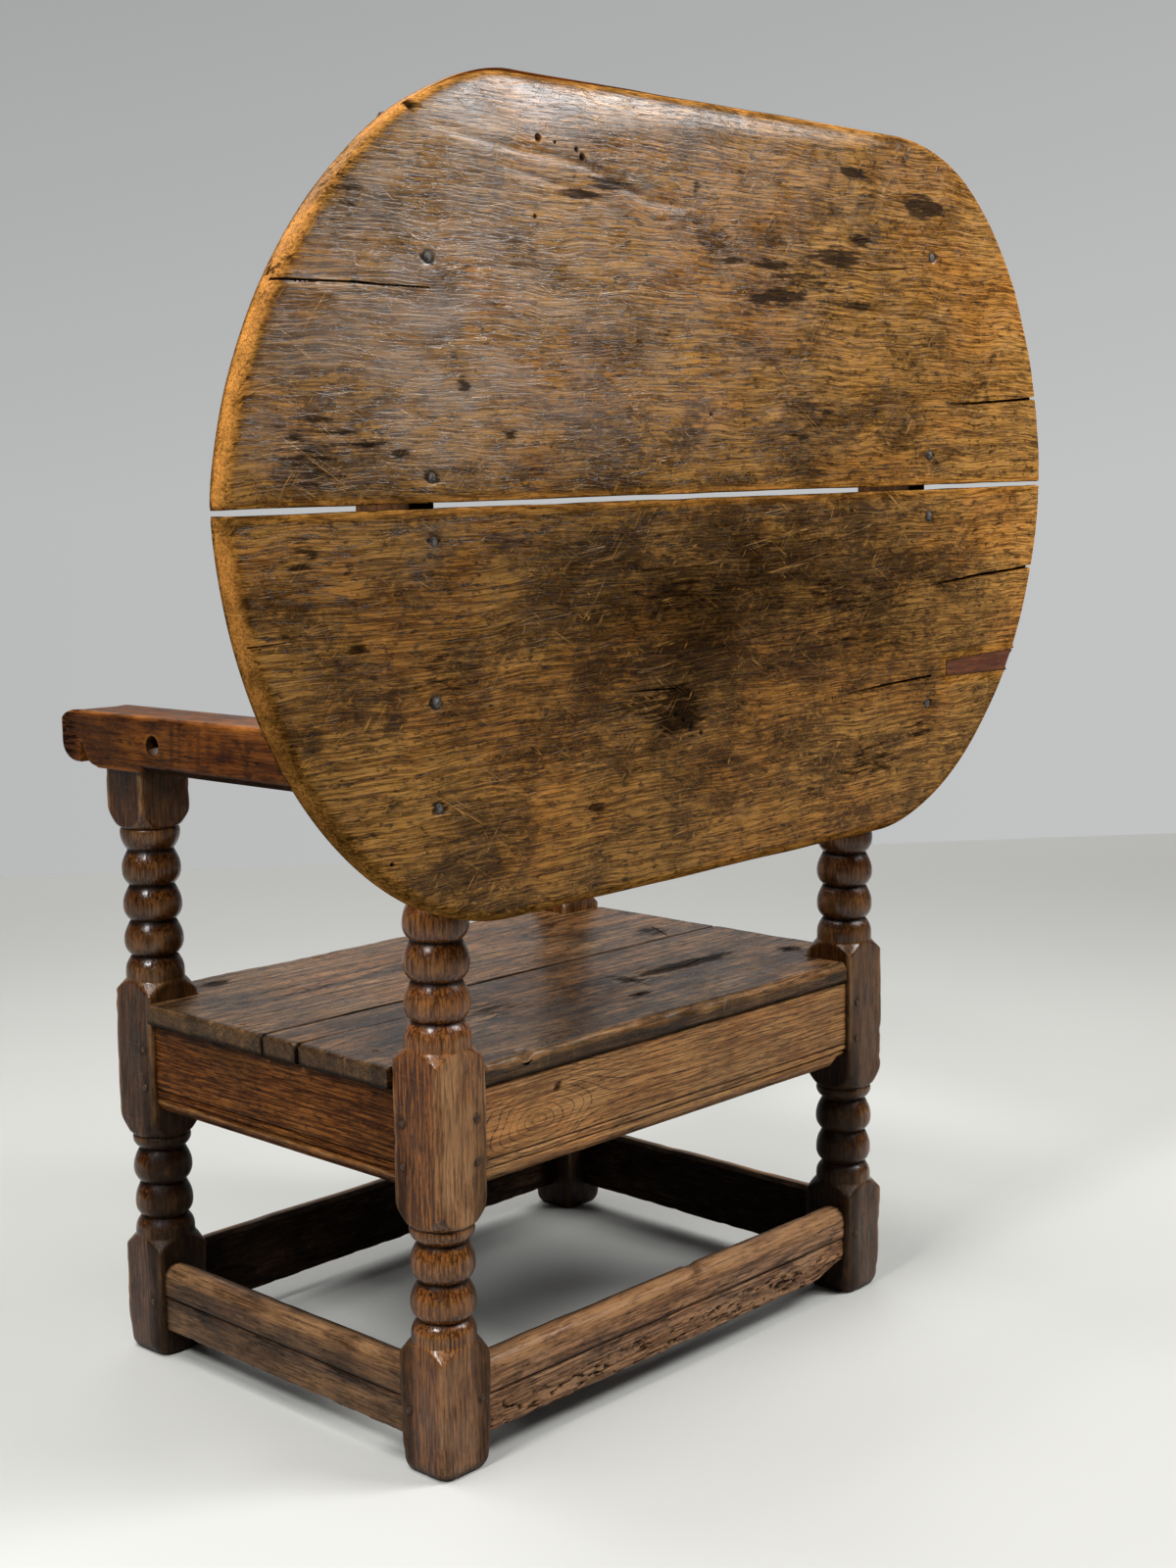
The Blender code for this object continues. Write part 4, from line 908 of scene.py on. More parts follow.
# Pits: middle, radius and depth
TOP_PITS = {1: mm([(254, 333, 4.5, 4), (195, 321, 4.2, 4.5), (203, 327, 3, 3), (261, 262, 2.6, 3),
                   (11, 82, 3.5, 1.5), (408, 346, 7.5, 6), (232, 331, 2, 2)]),
            -1: mm([(468, -317, 3, 3), (622, -113, 2.4, 3), (76, -221, 4, 2), (52, -236, 5.5, 2.2),
                    (36, -244, 4, 2), (64, -228, 2.5, 2)])}
TOP_STAINS = {
    1: [(490, 260, 35, 60, 0.36), (-150, 80, 120, 50, 0.38), (-372, 315, 42, 13, 1.2),
        (-235, 343, 36, 8, 0.9), (-205, 250, 60, 14, 0.8), (-100, 236, 55, 9, 0.8), (-250, 272, 30, 10, 0.7),
        (-30, 238, 30, 6, 0.8), (-100, 205, 80, 12, 0.7), (-240, 200, 50, 6, 0.85), (-160, 222, 100, 30, 0.5),
        (520, 50, 90, 50, 0.4), (160, 298, 40, 10, 0.7), (70, 262, 12, 6, 0.7), (200, 285, 40, 12, 0.6),
        (580, 200, 50, 12, 0.6), (30, 305, 10, 12, 0.6), (-400, 30, 12, 10, 0.6), (440, 45, 12, 10, 0.6),
        (300, 60, 15, 20, 0.5), (360, 110, 12, 12, 0.5)],
    -1: [(553, -40, 30, 24, 0.52), (-270, -310, 80, 30, 0.45), (90, -205, 90, 22, 0.6),
         (75, -225, 50, 20, 0.85), (612, -18, 6, 5, -0.8), (543, -259, 4, 4, -0.9), (456, -271, 4, 4, -0.9),
         (-89, -274, 16, 8, -0.7), (50, -90, 200, 60, 0.36), (200, -300, 20, 25, 0.55),
         (-200, -130, 200, 70, 0.34), (400, -150, 50, 30, 0.45), (500, -120, 20, 15, 0.55),
         (-360, -280, 30, 12, 0.6), (-150, -330, 30, 12, 0.5)]}
# Broad tones of the top: the wood's darker and lighter parts, and painted light: the upper board is lightened
# where more light falls, and a spot at its upper left for sheen
TOP_TONES = ((20, -100, 250, 120, 1.35), (-320, -130, 160, 90, 0.35), (470, 50, 140, 100, 0.25),
             (380, 140, 130, 90, -0.35), (460, 250, 50, 50, 0.45), (-80, 230, 100, 40, 0.3),
             (0, 200, 1000, 190, -0.25), (-620, 120, 180, 300, -0.8), (-620, -150, 120, 200, -0.5),
             (100, 300, 200, 50, -0.15), (400, -300, 200, 70, -0.35), (0, 100, 120, 60, -0.25),
             (-100, -350, 300, 40, -0.3))
TOP_POLISH = ((400, 160, 160, 160, 0.3),)
# Spot of painted sheen at the upper left
TOP_PAINTED_SHEEN = ((390, 160, 140, 130, 0.22),)
# Fall of the upper edge: place along, width and depth
TOP_FALL = mm([(-500, 10, 0.6), (-360, 24, 3.6), (-100, 30, 4.6), (50, 34, 5.2), (150, 46, 6.6),
               (250, 66, 8.8), (330, 75, 9.5), (430, 35, 3)])


def top_outline(sign):
    """Outer edge of a top board, from its left end to its right one, and its edge along the seam, both
    as those of an upper board."""
    seam = TOP_SEAM / 2
    half = TOP_WIDTH / 2
    quarters = []
    for side in ("left", "right"):
        straight, power = TOP_CORNERS[side, sign]
        angle = np.linspace(math.asin((seam / half) ** (power / 2)), math.pi / 2, 200)
        u = straight + (TOP_LENGTH / 2 - straight) * np.maximum(np.cos(angle), 0) ** (2 / power)
        quarters.append(np.stack([u, half * np.sin(angle) ** (2 / power)], 1))
    rim = np.concatenate([quarters[0], quarters[1][::-1] * (-1, 1)])
    rim = resample(even(rim, 0.0045), 0.01)
    rim *= 1 - 0.0011 * (1 + noise(20 + sign, *(rim * 16).T))[:, None]
    edge = resample([rim[-1], rim[0]], 0.006)[1:-1]
    edge[:, 1] = seam + 0.0004 * (1 + noise(22 + sign, *(edge * 22).T))
    return rim, edge


def top_form(flat, sign):
    """How far the top's face has worn away: soft waves, and a wide fall along the upper edge."""
    u, w = flat.T
    waves = noise(30, u * 7, w * 10) + 0.4 * noise(31, u * 19, w * 26)
    fall = 0.0011 * (1 + waves)
    if sign > 0:
        edge = TOP_WIDTH / 2 - np.maximum(abs(u + 0.03) - 0.32, 0) ** 2 * 1.6
        spots, wides, depths = TOP_FALL.T
        wide = np.interp(u, spots, wides) * (1 + 0.2 * waves)
        fall += np.interp(u, spots, depths) * np.clip(1 - (edge - w) / wide, 0, 1.3) ** 2.0
    for line, width, depth, ends in TOP_CREASES[sign]:
        gap, strength = line_distance(flat, line, ends)
        fall += depth * bell(gap, width) * strength
    return np.maximum(fall, 0)


def top_board(node, sign):
    """One board of the top, with its marks and its rounded rim."""
    rim, edge = top_outline(sign)
    rims = np.concatenate([RIM_OVER * (1 + 0.2 * noise(32, *(rim * 9).T)), np.full(len(edge), 0.0016)])
    outline = np.concatenate([rim, edge])
    if sign < 0:
        outline, rims = notch_patch(outline * (1, -1), rims, rim * (1, -1))
        outline, rims = outline[::-1], rims[::-1]
    grooves, pits = TOP_GROOVES[sign], list(TOP_PITS[sign])
    heads = []
    for name in frame["nodes"]:
        if name.startswith("nail_"):
            low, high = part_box(name)
            spot = (low.x + high.x) / 2, (low.z + high.z) / 2 - TOP_ORIGIN[2]
            u, w = np.array(TOP_AXES)[:2, [0, 2]] @ spot
            if w * sign > 0:
                heads.append((u, w))
    dense = dense_points(grooves + TOP_CREASES[sign], pits + [(u, w, 0.0085, 0) for u, w in heads])
    points, faces, gap, zones = slab(outline, rims, TOP_THICK, 0.0046, dense=dense, back_rim=RIM_UNDER)
    layers = board_layers(points, gap, zones, 11 + sign, 0.0064, 0.05 * sign, 0.02, RIM_OVER)
    face = zones == FACE
    flat = points[:, :2]
    u, w = flat.T
    layers["stain"] = (zones != BACK) * stains(flat, TOP_STAINS[sign])
    for head in heads:
        halo = np.hypot(u - head[0], (w - head[1]) * 1.2)
        lift(layers, "stain", 0.5 * smooth(0.016, 0.006, halo) * face)
        points[:, 2] -= face * 0.0012 * smooth(0.010, 0.005, halo)
    points[:, 2] -= face * top_form(flat, sign)
    layers["shade"] = 0.22 * noise(34, u * 8, w * 13) + 0.25 * noise(35, u * 21, w * 34)
    layers["shade"] += tones(flat, TOP_TONES)
    rounded = np.where(zones == WALLS, 1.0, smooth(RIM_OVER * 1.5, RIM_OVER * 0.5, gap))
    layers["polish"] = tones(flat, TOP_POLISH) + 0.1 * smooth(0.02, 0.2, w) - 0.4 * smooth(0.0, -0.06, w)
    layers["polish"] -= 1.1 * rounded
    # Grey bloom over the upper board and at its upper left: a painted sheen
    layers["bloom_and_painted_light"] = 0.12 * smooth(0.0, 0.10, w) * smooth(-0.3, 0.25, u) + tones(flat, TOP_PAINTED_SHEEN)
    layers["bloom_and_painted_light"] *= face * smooth(RIM_OVER * 0.5, RIM_OVER * 2.5, gap)
    carve(points, zones, layers, grooves, pits)
    seam = abs(w) < 0.004
    layers["wear"] = np.where(seam, 0.15, layers["wear"] * (1 - 0.65 * smooth(-0.10, -0.24, w)))
    # Painted shade on the walls of the seam between the boards, and a darker back
    lift(layers, "dirt_and_shade", np.where(seam & (zones == WALLS), 0.7, 0.35 * (zones == BACK)))
    piece(node, "top", TOP_OAK, place(points, TOP_ORIGIN, TOP_AXES), faces, layers)


def slip_corners(rim, grow):
    """Corners of the repair slip: at the rim below, inside below, inside above, at the rim above."""
    (inner, thin), (outer, broad) = PATCH
    right = rim[rim[:, 0] < 0]
    right = right[np.argsort(right[:, 1])]
    corners = []
    for side in (-1, 1):
        x = -0.56
        for _ in range(6):
            w = -PATCH_DROP + side * (np.interp(-x, (-inner, -outer), (thin, broad)) / 2 + grow)
            x = np.interp(w, right[:, 1], right[:, 0])
        corners += [(x, w), (inner + grow, -PATCH_DROP + side * (thin / 2 + grow))][::-side]
    return np.array(corners)


def beside_slip(outline, corners):
    """Which points of an outline lie between the slip's corners at the rim."""
    return (outline[:, 0] < 0) & (outline[:, 1] > corners[0, 1]) & (outline[:, 1] < corners[3, 1])


def notch_patch(outline, rims, rim):
    """Take the repair slip's place out of the lower board's outline."""
    corners = slip_corners(rim, PATCH_GAP)
    index = np.flatnonzero(beside_slip(outline, corners))
    notch = resample(corners, 0.006)
    return (np.concatenate([outline[:index[0]], notch, outline[index[-1] + 1:]]),
            np.concatenate([rims[:index[0]], np.full(len(notch), 0.0007), rims[index[-1] + 1:]]))


def patch():
    """The repair slip let into the lower board's right edge."""
    rim = top_outline(-1)[0] * (1, -1)
    corners = slip_corners(rim, 0)
    side = rim[beside_slip(rim, corners)]
    ring = resample(corners[::-1], 0.006)
    outline = np.concatenate([side, ring])[::-1]
    rims = np.concatenate([np.full(len(side), RIM_OVER * 0.9), np.full(len(ring), 0.0006)])[::-1]
    points, faces, gap, zones = slab(outline, rims, TOP_THICK, 0.004, back_rim=RIM_UNDER)
    layers = board_layers(points, gap, zones, 15, 0.006, -0.2, 0.03, 0.002)
    points[:, 2] -= (zones == FACE) * top_form(points[:, :2], -1)
    layers["dirt_and_shade"] = (zones == FACE) * smooth(0.0012, 0.0004, gap) * 0.7
    piece("edge_patch", "top", PATCH_OAK, place(points, TOP_ORIGIN, TOP_AXES), faces, layers)


# Dark stripes down an arm's side: place behind the front leg and half width in millimetres, and strength
ARM_STRIPES = ((30, 12, 0.4), (60, 4, 0.9), (74, 3, 0.7), (95, 6, 0.5), (108, 3, 0.8), (126, 4, 0.7),
               (150, 8, 0.4), (190, 5, 0.6), (250, 10, 0.5), (300, 6, 0.5))


def bores(side):
    """Middle of a pivot peg across and up, the radius of its shank, and the place of the lock hole."""
    low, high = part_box(f"{side}_pivot_peg")
    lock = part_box(f"front_{side}_leg")[1].y + LOCK_HOLE_BACK
    return (low.y + high.y) / 2, (low.z + high.z) / 2, (high.z - low.z) / 2 * PIVOT_SHANK, lock


def arm(side, sign):
    """One arm, with its hooked front end, its lock hole and the stopped chamfer below."""
    low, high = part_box(f"{side}_arm")
    pivot_y, pivot_z, shank, lock_y = bores(side)
    half = (high.z - low.z) / 2
    hook = low.z + HOOK_RISE
    notch = low.z + HOOK_NOTCH
    mouth = low.y + HOOK_LOWER[0] + HOOK_FLAT
    lean = mouth + NOTCH_LEAN
    cusp = mouth + HOOK_MOUTH
    line = [[(high.y - ARM_HEEL, low.z), (high.y, low.z + ARM_HEEL)],
            arc((pivot_y, pivot_z), (half, half), 0, 90, 14),
            arc((low.y + HOOK_UPPER[0], high.z - HOOK_UPPER[1]), HOOK_UPPER, 90, 180, 12),
            arc((low.y + HOOK_LOWER[0], hook + HOOK_LOWER[1]), HOOK_LOWER, 180, 270, 12),
            [(mouth, hook), (mouth + 0.0012, hook + 0.002), (lean, notch - 0.002), (lean + 0.002, notch),
             (lean + 0.005, notch - 0.004), (cusp, low.z + CUSP_RISE),
             (cusp + 0.006, low.z + CUSP_RISE - 0.003), (cusp + CUSP_LENGTH, low.z),
             (high.y - ARM_HEEL, low.z)]]
    outline = resample(np.concatenate(line), 0.0045)[:-1]
    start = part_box(f"front_{side}_leg")[1].y + CHAMFER_STOP
    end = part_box(f"rear_{side}_leg")[0].y - CHAMFER_STOP
    rims = np.where(outline[:, 1] > high.z - 0.0006, 0.0045, 0.0028) + 0.0012 * noise(40, *(outline * 20).T)
    rims = np.where(outline[:, 1] < low.z + 0.0005, 0.0014, np.maximum(rims, 0.0012))
    dense = resample([(start, low.z + 0.003), (end, low.z + 0.003)], 0.004)
    dense = np.concatenate([dense + (0, rise) for rise in (0, 0.003, 0.0058, 0.0066)])
    holes = (((lock_y, pivot_z), LOCK_HOLE_R), ((pivot_y, pivot_z), shank + 0.0003))
    points, faces, gap, zones = slab(outline, rims, high.x - low.x, 0.0048, holes, dense, 0.0025, 5)
    layers = board_layers(points - (0, 0.7, 0), gap, zones, 21 + sign, 0.0075, 0.01, 0.05, 0.005)
    along, up, out = points.T
    face = zones == FACE
    length = np.minimum(smooth(start - 0.001, start + ARM_CHAMFER, along),
                        smooth(end + 0.001, end - ARM_CHAMFER, along))
    fall = np.maximum(ARM_CHAMFER * length - (up - low.z), 0) * face
    points[:, 2] -= fall
    points[:, 2] -= face * 0.0007 * (1 + noise(41 + sign, along * 16, up * 22))
    top_face = (zones == WALLS) & (up > high.z - 0.004)
    points[:, 1] -= top_face * 0.0006 * (1 + noise(42, along * 14, out * 30))

    hole = np.hypot(along - lock_y, up - pivot_z)
    bore = (zones == WALLS) & (hole < LOCK_HOLE_R + 0.0005)
    lit = up <= pivot_z - 0.003
    front = smooth(low.y + 0.07, low.y + 0.01, along)
    dirt_and_shade = most(0.9 * smooth(0.0, 0.002, fall) * smooth(0.0005, 0.003, fall),
                0.85 * smooth(0.0128, 0.0112, hole) * (gap < 0.002))
    # Inside the lock hole the upper half is painted black as shade
    layers["dirt_and_shade"] = np.where(bore, ~lit, dirt_and_shade)
    bright = bell(along - (start + 0.17), 0.06) * smooth(high.z - 0.02, high.z, up)
    layers["wear"] = most(layers["wear"] * np.where(zones == WALLS, 0.35, 0.8), 0.9 * bright)
    layers["stain"] = (zones != BACK) * 0.45 * front
    # The lower half of the lock hole is painted pale grey as light seen through it
    layers["bloom_and_painted_light"] = bore & lit
    layers["polish"] = -0.3 * top_face
    layers["shade"] = 0.35 * front + 0.5 * top_face
    fade = smooth(low.z + 0.004, low.z + 0.02, up) * smooth(high.z, high.z - 0.01, up)
    for step, wide, strength in np.array(ARM_STRIPES) / (1000, 1000, 1):
        layers["shade"] += face * strength * fade * bell(along - start - step - 0.06 * (up - low.z), wide)
    origin = ((low if sign > 0 else high).x, 0, 0)
    placed = place(points, origin, ((0, 1, 0), (0, 0, 1), (sign, 0, 0)))
    piece(f"{side}_arm", "frame", ARM_OAK, placed, faces, layers)


def cleat(side, sign):
    """One cleat under the top, with sloped ends and its two holes."""
    low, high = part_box(f"{side}_cleat")
    pivot_y, pivot_z, shank, lock_y = bores(side)
    tip = high.y - CLEAT_TIP
    line = [(low.z, high.y), (low.z, tip), (low.z + CLEAT_SLOPE, low.y), (high.z - CLEAT_SLOPE, low.y),
            (high.z, tip), (high.z, high.y), (low.z, high.y)]
    outline = resample(line, 0.006)[:-1]
    rims = np.where(outline[:, 1] > high.y - 0.0002, 0.0006, 0.0030 + 0.001 * noise(50, *(outline * 24).T))
    holes = (((pivot_z, pivot_y), shank + 0.0004), ((pivot_z + pivot_y - lock_y, pivot_y), LOCK_HOLE_R))
    points, faces, gap, zones = slab(outline, rims, high.x - low.x, 0.008, holes, None, 0.0025, 2)
    layers = board_layers(points - (0, 0.2, 0), gap, zones, 31 + sign, 0.006, 0.03, 0.04, 0.004)
    hew = noise(51 + sign, points[:, 0] * 26, points[:, 1] * 12)
    inward_sign = np.where(zones == FACE, -1, zones == BACK)
    points[:, 2] += inward_sign * 0.0004 * (1 + hew)
    # Darker where hewn, and painted shade along the edge that meets the top
    layers["dirt_and_shade"] = 0.25 * np.maximum(hew, 0) + 0.6 * (points[:, 1] > high.y - 0.002)
    origin = ((low if sign > 0 else high).x, 0, 0)
    placed = place(points, origin, ((0, 0, 1), (0, 1, 0), (sign, 0, 0)))
    piece(f"{side}_cleat", "top", CLEAT_OAK, placed, faces, layers)


# Seat: marks on the face of its boards
SEAT_GROOVES = {"front": [groove(1.6, 4, (0.6, 1), (-312, -43), (-300, -20), (-286, 6))],
                "rear": [groove(0.7, 2, (1, 0.3), (300, 75), (240, 75.5), (170, 74)),
                         groove(1.1, 3, (1, 0.6), (-60, 105), (-75, 125), (-62, 150), (-60, 175)),
                         groove(1.4, 4, (0.6, 1), (-120, 133), (-165, 141), (-200, 132), (-230, 140))]}
SEAT_PITS = {"front": mm([(245, -215, 4, 2), (356, -35, 4, 2), (90, -235, 4, 3)]),
             "rear": mm([(335, 155, 4, 2), (-20, 196, 6, 2.2), (-316, 178, 6, 2)])}
SEAT_STAINS = {"front": [(260, -210, 30, 15, 0.8), (200, -100, 100, 50, 0.34), (-290, -20, 30, 30, 0.6)],
               "rear": [(-170, 136, 85, 17, 1.4), (-20, 197, 22, 9, 1.2), (-65, 140, 20, 30, 0.7),
                        (-316, 178, 20, 20, 1), (150, 120, 120, 50, 0.42)]}


def seat_board(depth, sign):
    """One seat board, cut round two legs, hollowed by use; the rear one is split at its left end."""
    low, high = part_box(f"{depth}_seat_board")
    inner_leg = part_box(f"{depth}_left_leg")[0].x - NOTCH_GAP
    leg_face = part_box(f"{depth}_left_leg")[0 if sign > 0 else 1].y - sign * NOTCH_GAP
    seam, edge = (low.y, high.y) if sign > 0 else (high.y, low.y)
    line = [(high.x, seam)]
    if sign > 0:
        line += [(high.x - into, SPLIT_Y + SPLIT_MOUTH * share) for into, share in SPLIT]
    line += [(high.x, leg_face), (inner_leg, leg_face), (inner_leg, edge), (-inner_leg, edge),
             (-inner_leg, leg_face), (low.x, leg_face), (low.x, seam), (high.x, seam)]
    outline = resample(line, 0.0055)[:-1][::sign]
    outer = abs(outline[:, 1] - edge) < 0.0002
    ends = abs(abs(outline[:, 0]) - high.x) < 0.0002
    rough = noise(60 + sign, *(outline * 26).T) + 0.6 * noise(62 + sign, *(outline * 75).T)
    worn = 0.0068 + 0.0025 * rough + 0.003 * bell(outline[:, 0], 0.17)
    rims = np.where(outer, worn, np.where(ends, 0.0036 + 0.0012 * rough, 0.0011))
    rims = np.maximum(rims, 0.0006)
    grooves, pits = SEAT_GROOVES[depth], SEAT_PITS[depth]
    points, faces, gap, zones = slab(outline, rims, high.z - low.z, 0.005, dense=dense_points(grooves, pits))
    layers = board_layers(points, gap, zones, 41 + sign, 0.009, (seam + edge) / 2, 0.03, 0.0075)
    along, across, _ = points.T
    face, walls = zones == FACE, zones == WALLS
    slow = noise(64 + sign, along * 9, across * 18)
    points[:, 2] -= face * 0.0007 * (1 + slow)
    if sign > 0:
        nick = smooth(0.009, 0.002, abs(along - NICK_X)) * smooth(edge - 0.02, edge, across)
        points[:, 2] -= face * 0.006 * nick
    off_seam = abs(across - seam)
    layers["stain"] = face * stains(points[:, :2], SEAT_STAINS[depth])
    # Dark back, and painted shade in the seam between the boards
    layers["dirt_and_shade"] = most(0.8 * (zones == BACK), 0.9 * (walls & (off_seam < 0.003)),
                          face * 0.85 * smooth(0.004, 0.001, off_seam))
    patchy = np.where(abs(along) > high.x - 0.02, 0.2, 0.3 + 0.7 * bell(along - 0.12, 0.16))
    wear = np.where(off_seam < 0.004, 0.1, layers["wear"])
    layers["wear"] = np.where(walls, 0.12, wear * patchy)
    # Mottled tone, and about the middle a painted reflection of the top on the rear board and painted light
    # on the front one
    shade = 0.3 * slow + SEAT_TONE_AND_REFLECTION[depth] * bell(along - 0.1, 0.3)
    layers["shade"] = np.where(walls | (abs(along) > high.x - 0.006), 1.0, shade)
    if sign > 0:
        # Painted shade in the split at the left end
        cleft = (abs(across - SPLIT_Y) < SPLIT_MOUTH * 0.7) & (along > high.x - SPLIT_LENGTH) & walls
        lift(layers, "dirt_and_shade", 0.85 * cleft)
    carve(points, zones, layers, grooves, pits)
    piece(f"{depth}_seat_board", "frame", SEAT_OAK, points + (0, 0, low.z), faces, layers)


# Small pieces: body, slot, finish, sides, unevenness, how far the head stands out, places behind the head
# with the radius there as a part of the head's, and such places before the tip
PEG = ("frame", "peg_oak", PEG_OAK, 14, 0.13, 0,
       [(0, 0.35), (0.0002, 0.62), (0.0006, 0.86), (0.0013, 1.0), (0.010, 1.0), (0.024, 0.98),
        (0.0345, 0.6)], [])
PIVOT = ("frame", "peg_oak", PEG_OAK, 22, 0.05, 0,
         [(0, 0.5), (0.0006, 0.72), (0.002, 0.90), (0.0045, 1.0), (0.0068, 1.0), (0.0078, 0.96),
          (0.0080, PIVOT_SHANK), (0.05, 0.675), (0.09, 0.67)], [(0.003, 0.66), (0, 0.5)])
NAIL = ("top", "nail_iron", NAIL_IRON, 11, 0.22, 0.0002,
        [(0, 0.16), (0.0002, 0.36), (0.0008, 0.62), (0.0014, 0.88), (0.0018, 1.0), (0.0024, 0.92),
         (0.0026, 0.36), (0.02, 0.34)], [(0.001, 0.12), (0, 0.05)])


def small_piece(node, form, seed):
    """A peg or nail with its head outward, whittled or forged a little out of round."""
    body, slot, surface, sides, wobble, proud, head_rows, tip_rows = form
    low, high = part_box(node)
    size = high - low
    centre = np.array((low + high) / 2)
    axis, others = (0, (1, 2)) if size.x > size.y else (1, (0, 2))
    sign = 1 if centre[axis] > (0, MIDDLE_Y)[axis] else -1
    head = (high if sign > 0 else low)[axis] + proud
    rows = np.array(head_rows + [(size[axis] - before, share) for before, share in tip_rows])
    angles = np.linspace(0, 2 * math.pi, sides, endpoint=False)
    s, angle = (grid.ravel() for grid in np.meshgrid(head - sign * rows[:, 0], angles, indexing="ij"))
    radii = rows[:, 1] * size.z / 2
    cos, sin = np.cos(angle), np.sin(angle)
    radius = np.repeat(radii, sides) * (1 + wobble * noise(70, cos * 1.5, sin * 1.5, s * 60, shift=seed))
    points = np.tile(centre, (len(s), 1))
    points[:, axis] = s
    points[:, others] += np.column_stack([radius * cos, radius * sin])
    local = np.column_stack([s, points[:, others] - centre[list(others)]]) + seed * 0.37
    outer = abs(s - centre[axis]) / (size[axis] / 2)
    crown = smooth(radii.max(), radii.max() * 0.4, radius) * (outer > 0.9)
    layers = {"grain": local, "ring": radius / 0.002, "wear": crown}
    piece(node, body, surface, points, skin(len(rows), sides), layers, 50)


def build():
    """Every piece of the bench and its top."""
    for seed, corner in enumerate(LEG_SHADE, 1):
        leg(corner, seed)
    for seed, (node, steps, surface, marks) in enumerate(BARS, 1):
        bar(node, steps, surface, seed, **marks)
    seat_board("front", -1)
    seat_board("rear", 1)
    for side, sign in (("left", 1), ("right", -1)):
        arm(side, sign)
        cleat(side, sign)
    top_board("upper_top_board", 1)
    top_board("lower_top_board", -1)
    patch()
    for number, node in enumerate(sorted(frame["nodes"])):
        for mark, form in (("_peg_", PEG), ("_pivot_peg", PIVOT), ("nail_", NAIL)):
            if mark in node:
                small_piece(node, form, number)


# Stage: the wall's colour and that of the air, and the foot of the wall as two points
WALL = (0.485, 0.49, 0.49)
AIR = (0.07, 0.07, 0.07)
WALL_SHARE = 0.78
ROOM_SHARE = 0.10         # brightness of the room behind the camera, as a part of the wall's
WALL_FOOT = (Vector((-1.216, -3.141, 0)), Vector((-3.816, -1.116, 0)))
WALL_RUN = (WALL_FOOT[1] - WALL_FOOT[0]).normalized()
FROM_WALL = Vector((WALL_RUN.y, -WALL_RUN.x, 0))
PICTURE_LEFT = (-0.6845, 0.7290, 0)
FLOOR_SIZE = (60, 40)
FLOOR_PAINT = ((0.552, 0.552, 0.526), (0.595, 0.595, 0.566))
FLOOR_BOUNCE = (0.32, 0.32, 0.305)
# Lamps: target, azimuth, elevation, distance, width and height, power
LAMPS = {"ceiling_lamp": ((0.8, -0.2, 0.7), 350, 80, 3.4, (1.9, 1.9), 92),
         "key_lamp": ((0, 0.2, 0.7), 126, 47, 3.1, (1.2, 1.2), 74),
         "glint_lamp": ((0, 0.2, 0.95), 137, 30, 3.1, (0.9, 0.85), 35),
         "side_lamp": ((0, 0, 0.7), 12, 38, 3.2, (0.55, 0.7), 66),
         "front_lamp": ((0, -0.1, 0.5), 288, 58, 3.4, (1.3, 1.3), 28),
         "back_lamp": ((-2.6, -2.6, 0), 225, 84, 3.4, (2.4, 2.4), 34)}
CAMERA_PLACE = (1.6817, 1.71905, 0.9554)
CAMERA_AIM = (223.2003, -7.5922)    # azimuth and elevation
CAMERA_ROLL = math.radians(-0.6605)
CAMERA_LENS = 47.8735


def direction(azimuth, elevation):
    """Unit vector from angles in degrees."""
    a, e = math.radians(azimuth), math.radians(elevation)
    return Vector((math.cos(a) * math.cos(e), math.sin(a) * math.cos(e), math.sin(e)))


def lamps():
    """Soft lamps that face the bench, and one for the floor behind it."""
    for name, (target, azimuth, elevation, distance, size, power) in LAMPS.items():
        light = bpy.data.lights.new(name, "AREA")
        light.shape = "RECTANGLE"
        light.size, light.size_y = size
        light.energy = power
        away = direction(azimuth, elevation)
        made = add(name, light)
        made.location = Vector(target) + away * distance
        made.rotation_euler = away.to_track_quat("Z", "Y").to_euler()


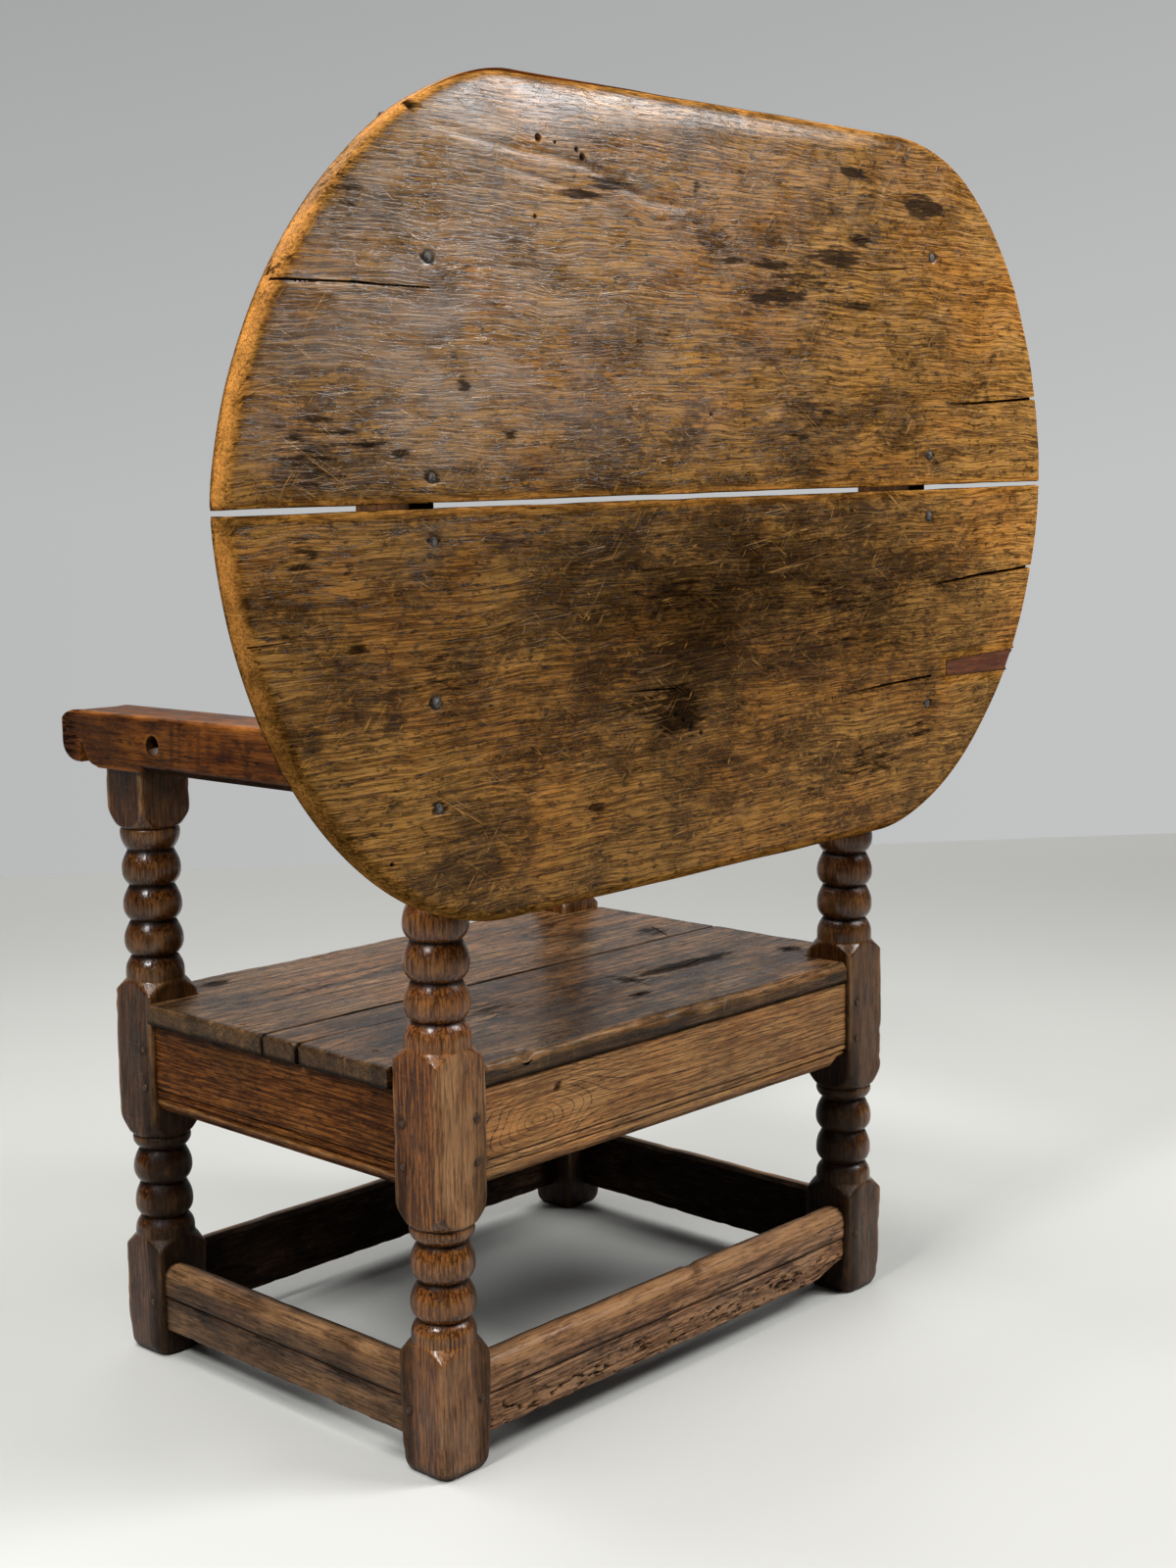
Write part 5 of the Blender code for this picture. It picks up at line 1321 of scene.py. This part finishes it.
def floor():
    """Pale painted floor that ends at the foot of the wall."""
    g = Graph(bpy.data.materials.new("floor_paint"))
    spot = g.node("ShaderNodeNewGeometry", {}, "Position")
    paint = g.mix(g.noise(spot, (0.9, 0.9), 3.0), *FLOOR_PAINT)
    _, seen = g.rays()
    away = g.node("ShaderNodeVectorMath", {0: spot}, "Value", operation="LENGTH")
    g.feed(g.shader, {"Base Color": g.mix(seen, FLOOR_BOUNCE, paint), "Roughness": 0.55,
                      "Emission Color": paint, "Emission Strength": seen * away.rise(2.0, 6.5, 0.0, 0.66)})
    side = WALL_RUN * FLOOR_SIZE[0] / 2
    near = FROM_WALL * FLOOR_SIZE[1]
    middle = (WALL_FOOT[0] + WALL_FOOT[1]) / 2
    corners = [middle - side, middle + side, middle + side + near, middle - side + near]
    mesh = bpy.data.meshes.new("floor")
    mesh.from_pydata(corners, [], [(0, 1, 2, 3)])
    mesh.materials.append(g.owner)
    add("floor", mesh)


def world():
    """Grey wall that the camera and glosses see, and dim air for the rest."""
    g = Graph(bpy.data.worlds.new("studio"))
    bpy.context.scene.world = g.owner
    g.tree.nodes.clear()
    aim = g.node("ShaderNodeTexCoord", {}, "Generated")
    ways = (-FROM_WALL, (0, 0, 1), PICTURE_LEFT)
    wallward, level, sideways = (
        g.node("ShaderNodeVectorMath", {0: aim, 1: way}, "Value", operation="DOT_PRODUCT") for way in ways)
    camera_ray, seen = g.rays()
    shown = level.rise(0.0, 0.22, 1.06, 0.84, "LINEAR") + sideways.rise(-0.26, 0.26, -0.05, 0.06, "LINEAR")
    bright = wallward.rise(0.3, 0.9, ROOM_SHARE, WALL_SHARE, "LINEAR").highest(shown * camera_ray)
    wall = g.node("ShaderNodeBackground", {0: WALL, 1: bright})
    air = g.node("ShaderNodeBackground", {0: AIR})
    mixed = g.node("ShaderNodeMixShader", {0: seen, 1: air, 2: wall})
    g.feed(g.tree.nodes.new("ShaderNodeOutputWorld"), {0: mixed})


def camera():
    """The photograph's view."""
    ahead = direction(*CAMERA_AIM)
    right = ahead.cross(Vector((0, 0, 1))).normalized()
    up = right.cross(ahead)
    across = math.cos(CAMERA_ROLL) * right + math.sin(CAMERA_ROLL) * up
    upright = -math.sin(CAMERA_ROLL) * right + math.cos(CAMERA_ROLL) * up
    data = bpy.data.cameras.new("camera")
    data.sensor_width = 36
    data.lens = CAMERA_LENS
    made = add("camera", data)
    turn = Matrix((across, upright, -ahead)).transposed().to_4x4()
    made.matrix_world = Matrix.Translation(CAMERA_PLACE) @ turn
    bpy.context.scene.camera = made


camera()
floor()
world()
lamps()
build()
bpy.context.scene.view_settings.view_transform = "Standard"
